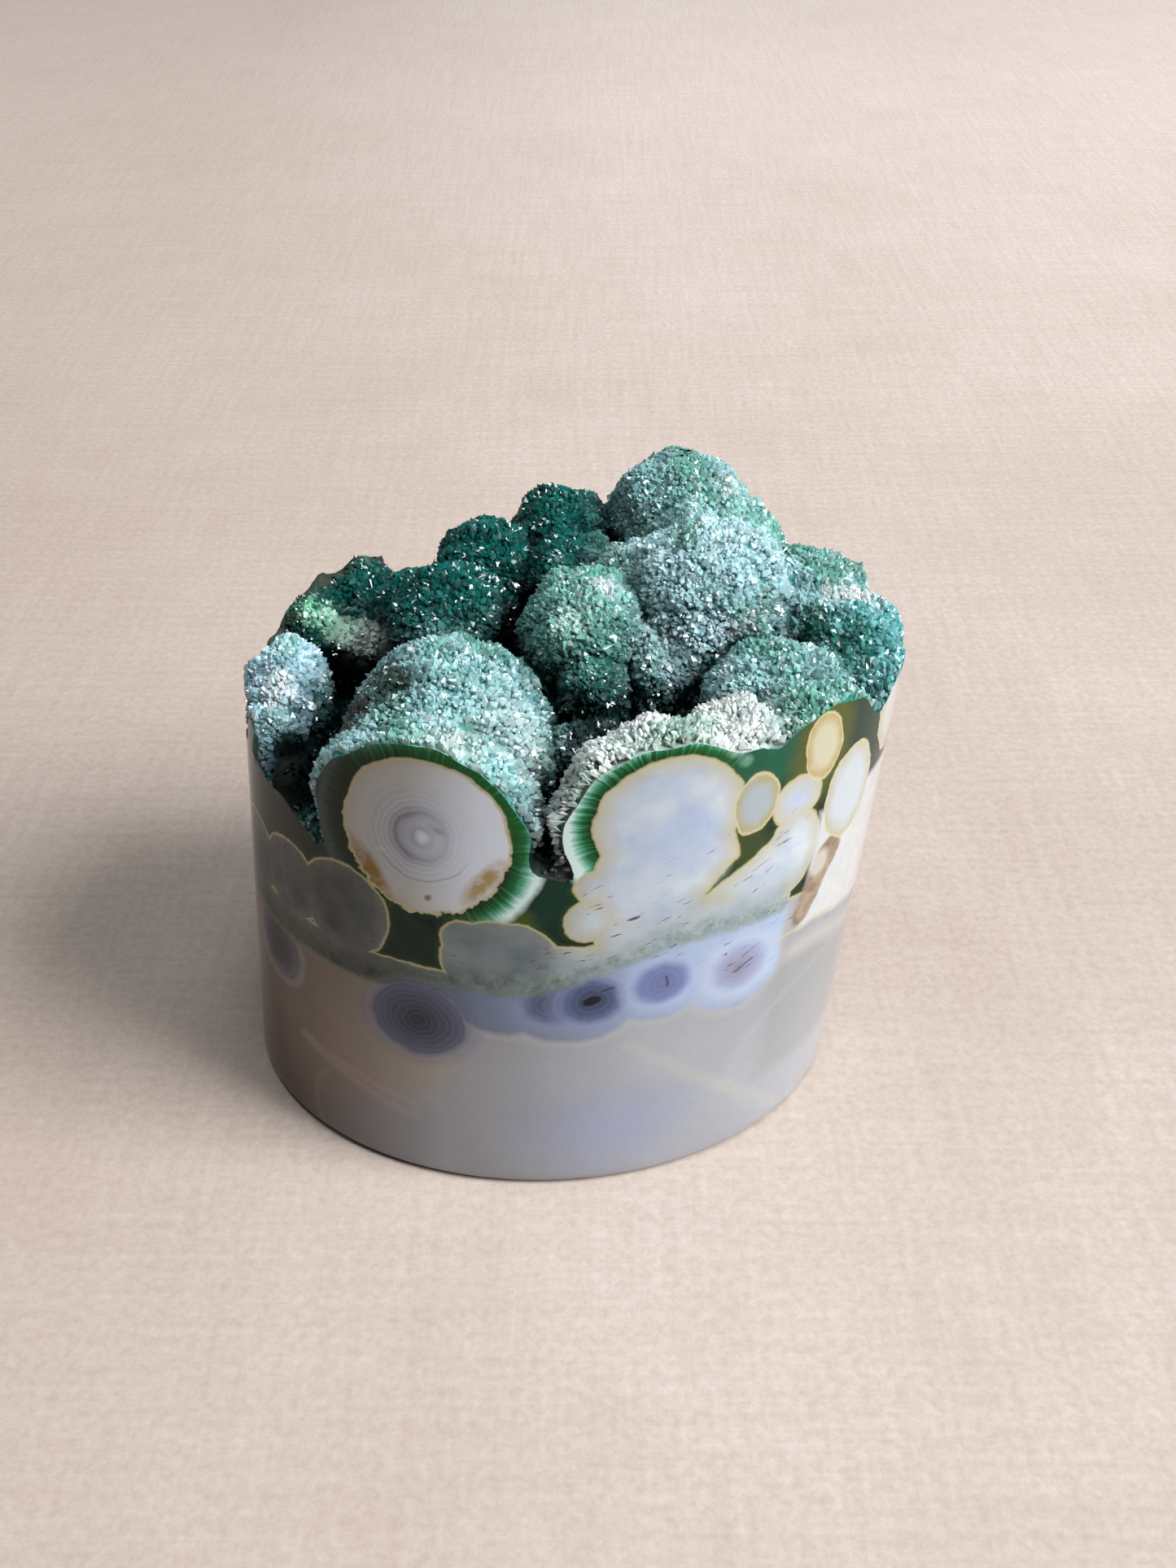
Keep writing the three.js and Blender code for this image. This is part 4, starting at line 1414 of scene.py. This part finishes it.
def crystal_corners(points, normals, sizes, rises):
    count = len(points)
    axis = normals + crystal_random.normal(scale=TILT, size=(count, 3))
    axis /= np.linalg.norm(axis, axis=1)[:, None]
    side = np.cross(axis, crystal_random.normal(size=(count, 3)))
    side /= np.linalg.norm(side, axis=1)[:, None]
    across = np.cross(axis, side)
    half = (HALF_SPAN[0] + (HALF_SPAN[1] - HALF_SPAN[0]) * crystal_random.random(count) ** 4) * sizes
    half = half[:, None]
    angles = (np.arange(SIDES) * 2 * math.pi / SIDES)[None, :, None]
    reach = half * (1 + either_way(SIDE_JITTER, count, SIDES))
    ring = (np.cos(angles) * side[:, None] + np.sin(angles) * across[:, None]) * reach[:, :, None]
    step = np.where(np.arange(SIDES) % 2 == 0, SHOULDER_STEP, -SHOULDER_STEP) * half
    step = step + either_way(SHOULDER_JITTER, count, SIDES) * half
    shoulder_height = (spread(SHOULDER, count) * sizes)[:, None] + step
    shoulders = points[:, None] + ring + shoulder_height[:, :, None] * axis[:, None]
    feet = points - FOOT_DEPTH * axis
    lean = either_way(TIP_LEAN, count, 2) * half
    tip_height = shoulder_height.mean(axis=1) + spread(TIP_RISE, count) * half[:, 0] * rises
    tips = points + tip_height[:, None] * axis
    tips += lean[:, :1] * side + lean[:, 1:] * across
    return np.concatenate([shoulders, tips[:, None], feet[:, None]], axis=1)


def cut_at_wall(corners):
    flat = corners.reshape(-1, 3)
    share = off_axis(flat)
    limit = 1 - WALL_INSET
    shrink = np.where(share > limit, limit / share, 1.0)
    axis_x = BASE_X + LEAN * flat[:, 2]
    flat[:, 0] = np.clip(axis_x + (flat[:, 0] - axis_x) * shrink, *SIDE_LIMITS)
    flat[:, 1] *= shrink
    flat[:, 2] = np.minimum(flat[:, 2], TOP_LIMIT)
    return flat


def crystal_faces(count):
    one = [(side, (side + 1) % SIDES, SIDES) for side in range(SIDES)]
    one += [((side + 1) % SIDES, side, SIDES + 1) for side in range(SIDES)]
    return (np.array(one) + CORNERS * np.arange(count)[:, None, None]).reshape(-1, 3).tolist()


# %% [markdown]
# Quartz is clear: it transmits light, bends it by its index of 1.544 and takes its tint from the
# green stone it grew from. Many points are clouded by tiny flaws, which scatter light back as frost.
# So the material mixes two finishes with constant transmission, one clear and one clouded, by the
# share that each crystal carries.

# %% Quartz
QUARTZ_IOR = 1.544


def quartz():
    g = Graph("quartz")
    tint = g.add("Attribute", {"attribute_name": "tint"}).outputs["Color"]
    frost = Value(g, g.add("Attribute", {"attribute_name": "frost"}).outputs["Fac"])
    clear = g.principled({
        "Base Color": g.mix(0.35, tint, (250, 255, 254)), "Roughness": 0.02, "IOR": QUARTZ_IOR,
        "Transmission Weight": 1.0,
    })
    clouded = g.principled({
        "Base Color": tint, "Roughness": 0.12, "IOR": QUARTZ_IOR, "Transmission Weight": 0.12,
        "Coat Weight": 0.12, "Coat Roughness": 0.03,
    })
    share = g.math("MULTIPLY", frost, g.mottle(0.22, 3.0, 0.6, 0.3, 0.7) * 0.3 + 0.75, clamp=True)
    return g.surface(g.add("MixShader", {}, {0: share, 1: clear.outputs[0], 2: clouded.outputs[0]}))


quartz_material = quartz()
print("quartz nodes:", len(quartz_material.node_tree.nodes))

# %% [markdown]
# The crystals are joined in a few pieces of one mesh each, from the clearest to the most clouded.
# Every corner carries its tint and its crystal's cloudedness to the material as attributes.

# %% Crystal pieces
MOST_TRIANGLES = 190000
TRIANGLES_EACH = 12
SHOULDER_TINT = 0.6
TINT_JITTER = 0.06
FROST_JITTER = 0.14
FROST_LIMITS = (0.02, 0.95)


def crystal_piece(name, chosen):
    corners = crystal_corners(places[chosen], outwards[chosen], look_sizes[chosen], tip_rises[chosen])
    count = len(corners)
    piece = mesh_object(name, cut_at_wall(corners), crystal_faces(count))
    shade = 1 + crystal_random.normal(scale=TINT_JITTER, size=(count, 1, 1))
    tips = tip_tints[chosen][:, None]
    roots = root_tints[chosen][:, None]
    # light tips and dark roots: partly the quartz's colour, partly painted light and shade
    shoulders = np.repeat(blend(roots, tips, SHOULDER_TINT), SIDES, axis=1)
    colours = np.ones((count, CORNERS, 4), np.float32)
    colours[:, :, :3] = np.clip(np.concatenate([shoulders, tips, roots], axis=1) * shade, 0, 1)
    frost = np.clip(frosts[chosen] + crystal_random.normal(scale=FROST_JITTER, size=count), *FROST_LIMITS)
    attributes = piece.data.attributes
    attributes.new("tint", "FLOAT_COLOR", "POINT").data.foreach_set("color", colours.ravel())
    frost_layer = attributes.new("frost", "FLOAT", "POINT")
    frost_layer.data.foreach_set("value", np.repeat(frost, CORNERS).astype(np.float32))
    piece.data.materials.append(quartz_material)
    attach(piece, "root")
    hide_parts("druzy_crust")
    print(name, "crystals:", count, "triangles:", len(piece.data.polygons))


order = np.argsort(frosts, kind="stable")
piece_count = math.ceil(len(order) / (MOST_TRIANGLES // TRIANGLES_EACH))
for number, chosen in enumerate(np.array_split(order, piece_count)):
    crystal_piece(f"quartz_points_{number + 1}", chosen)
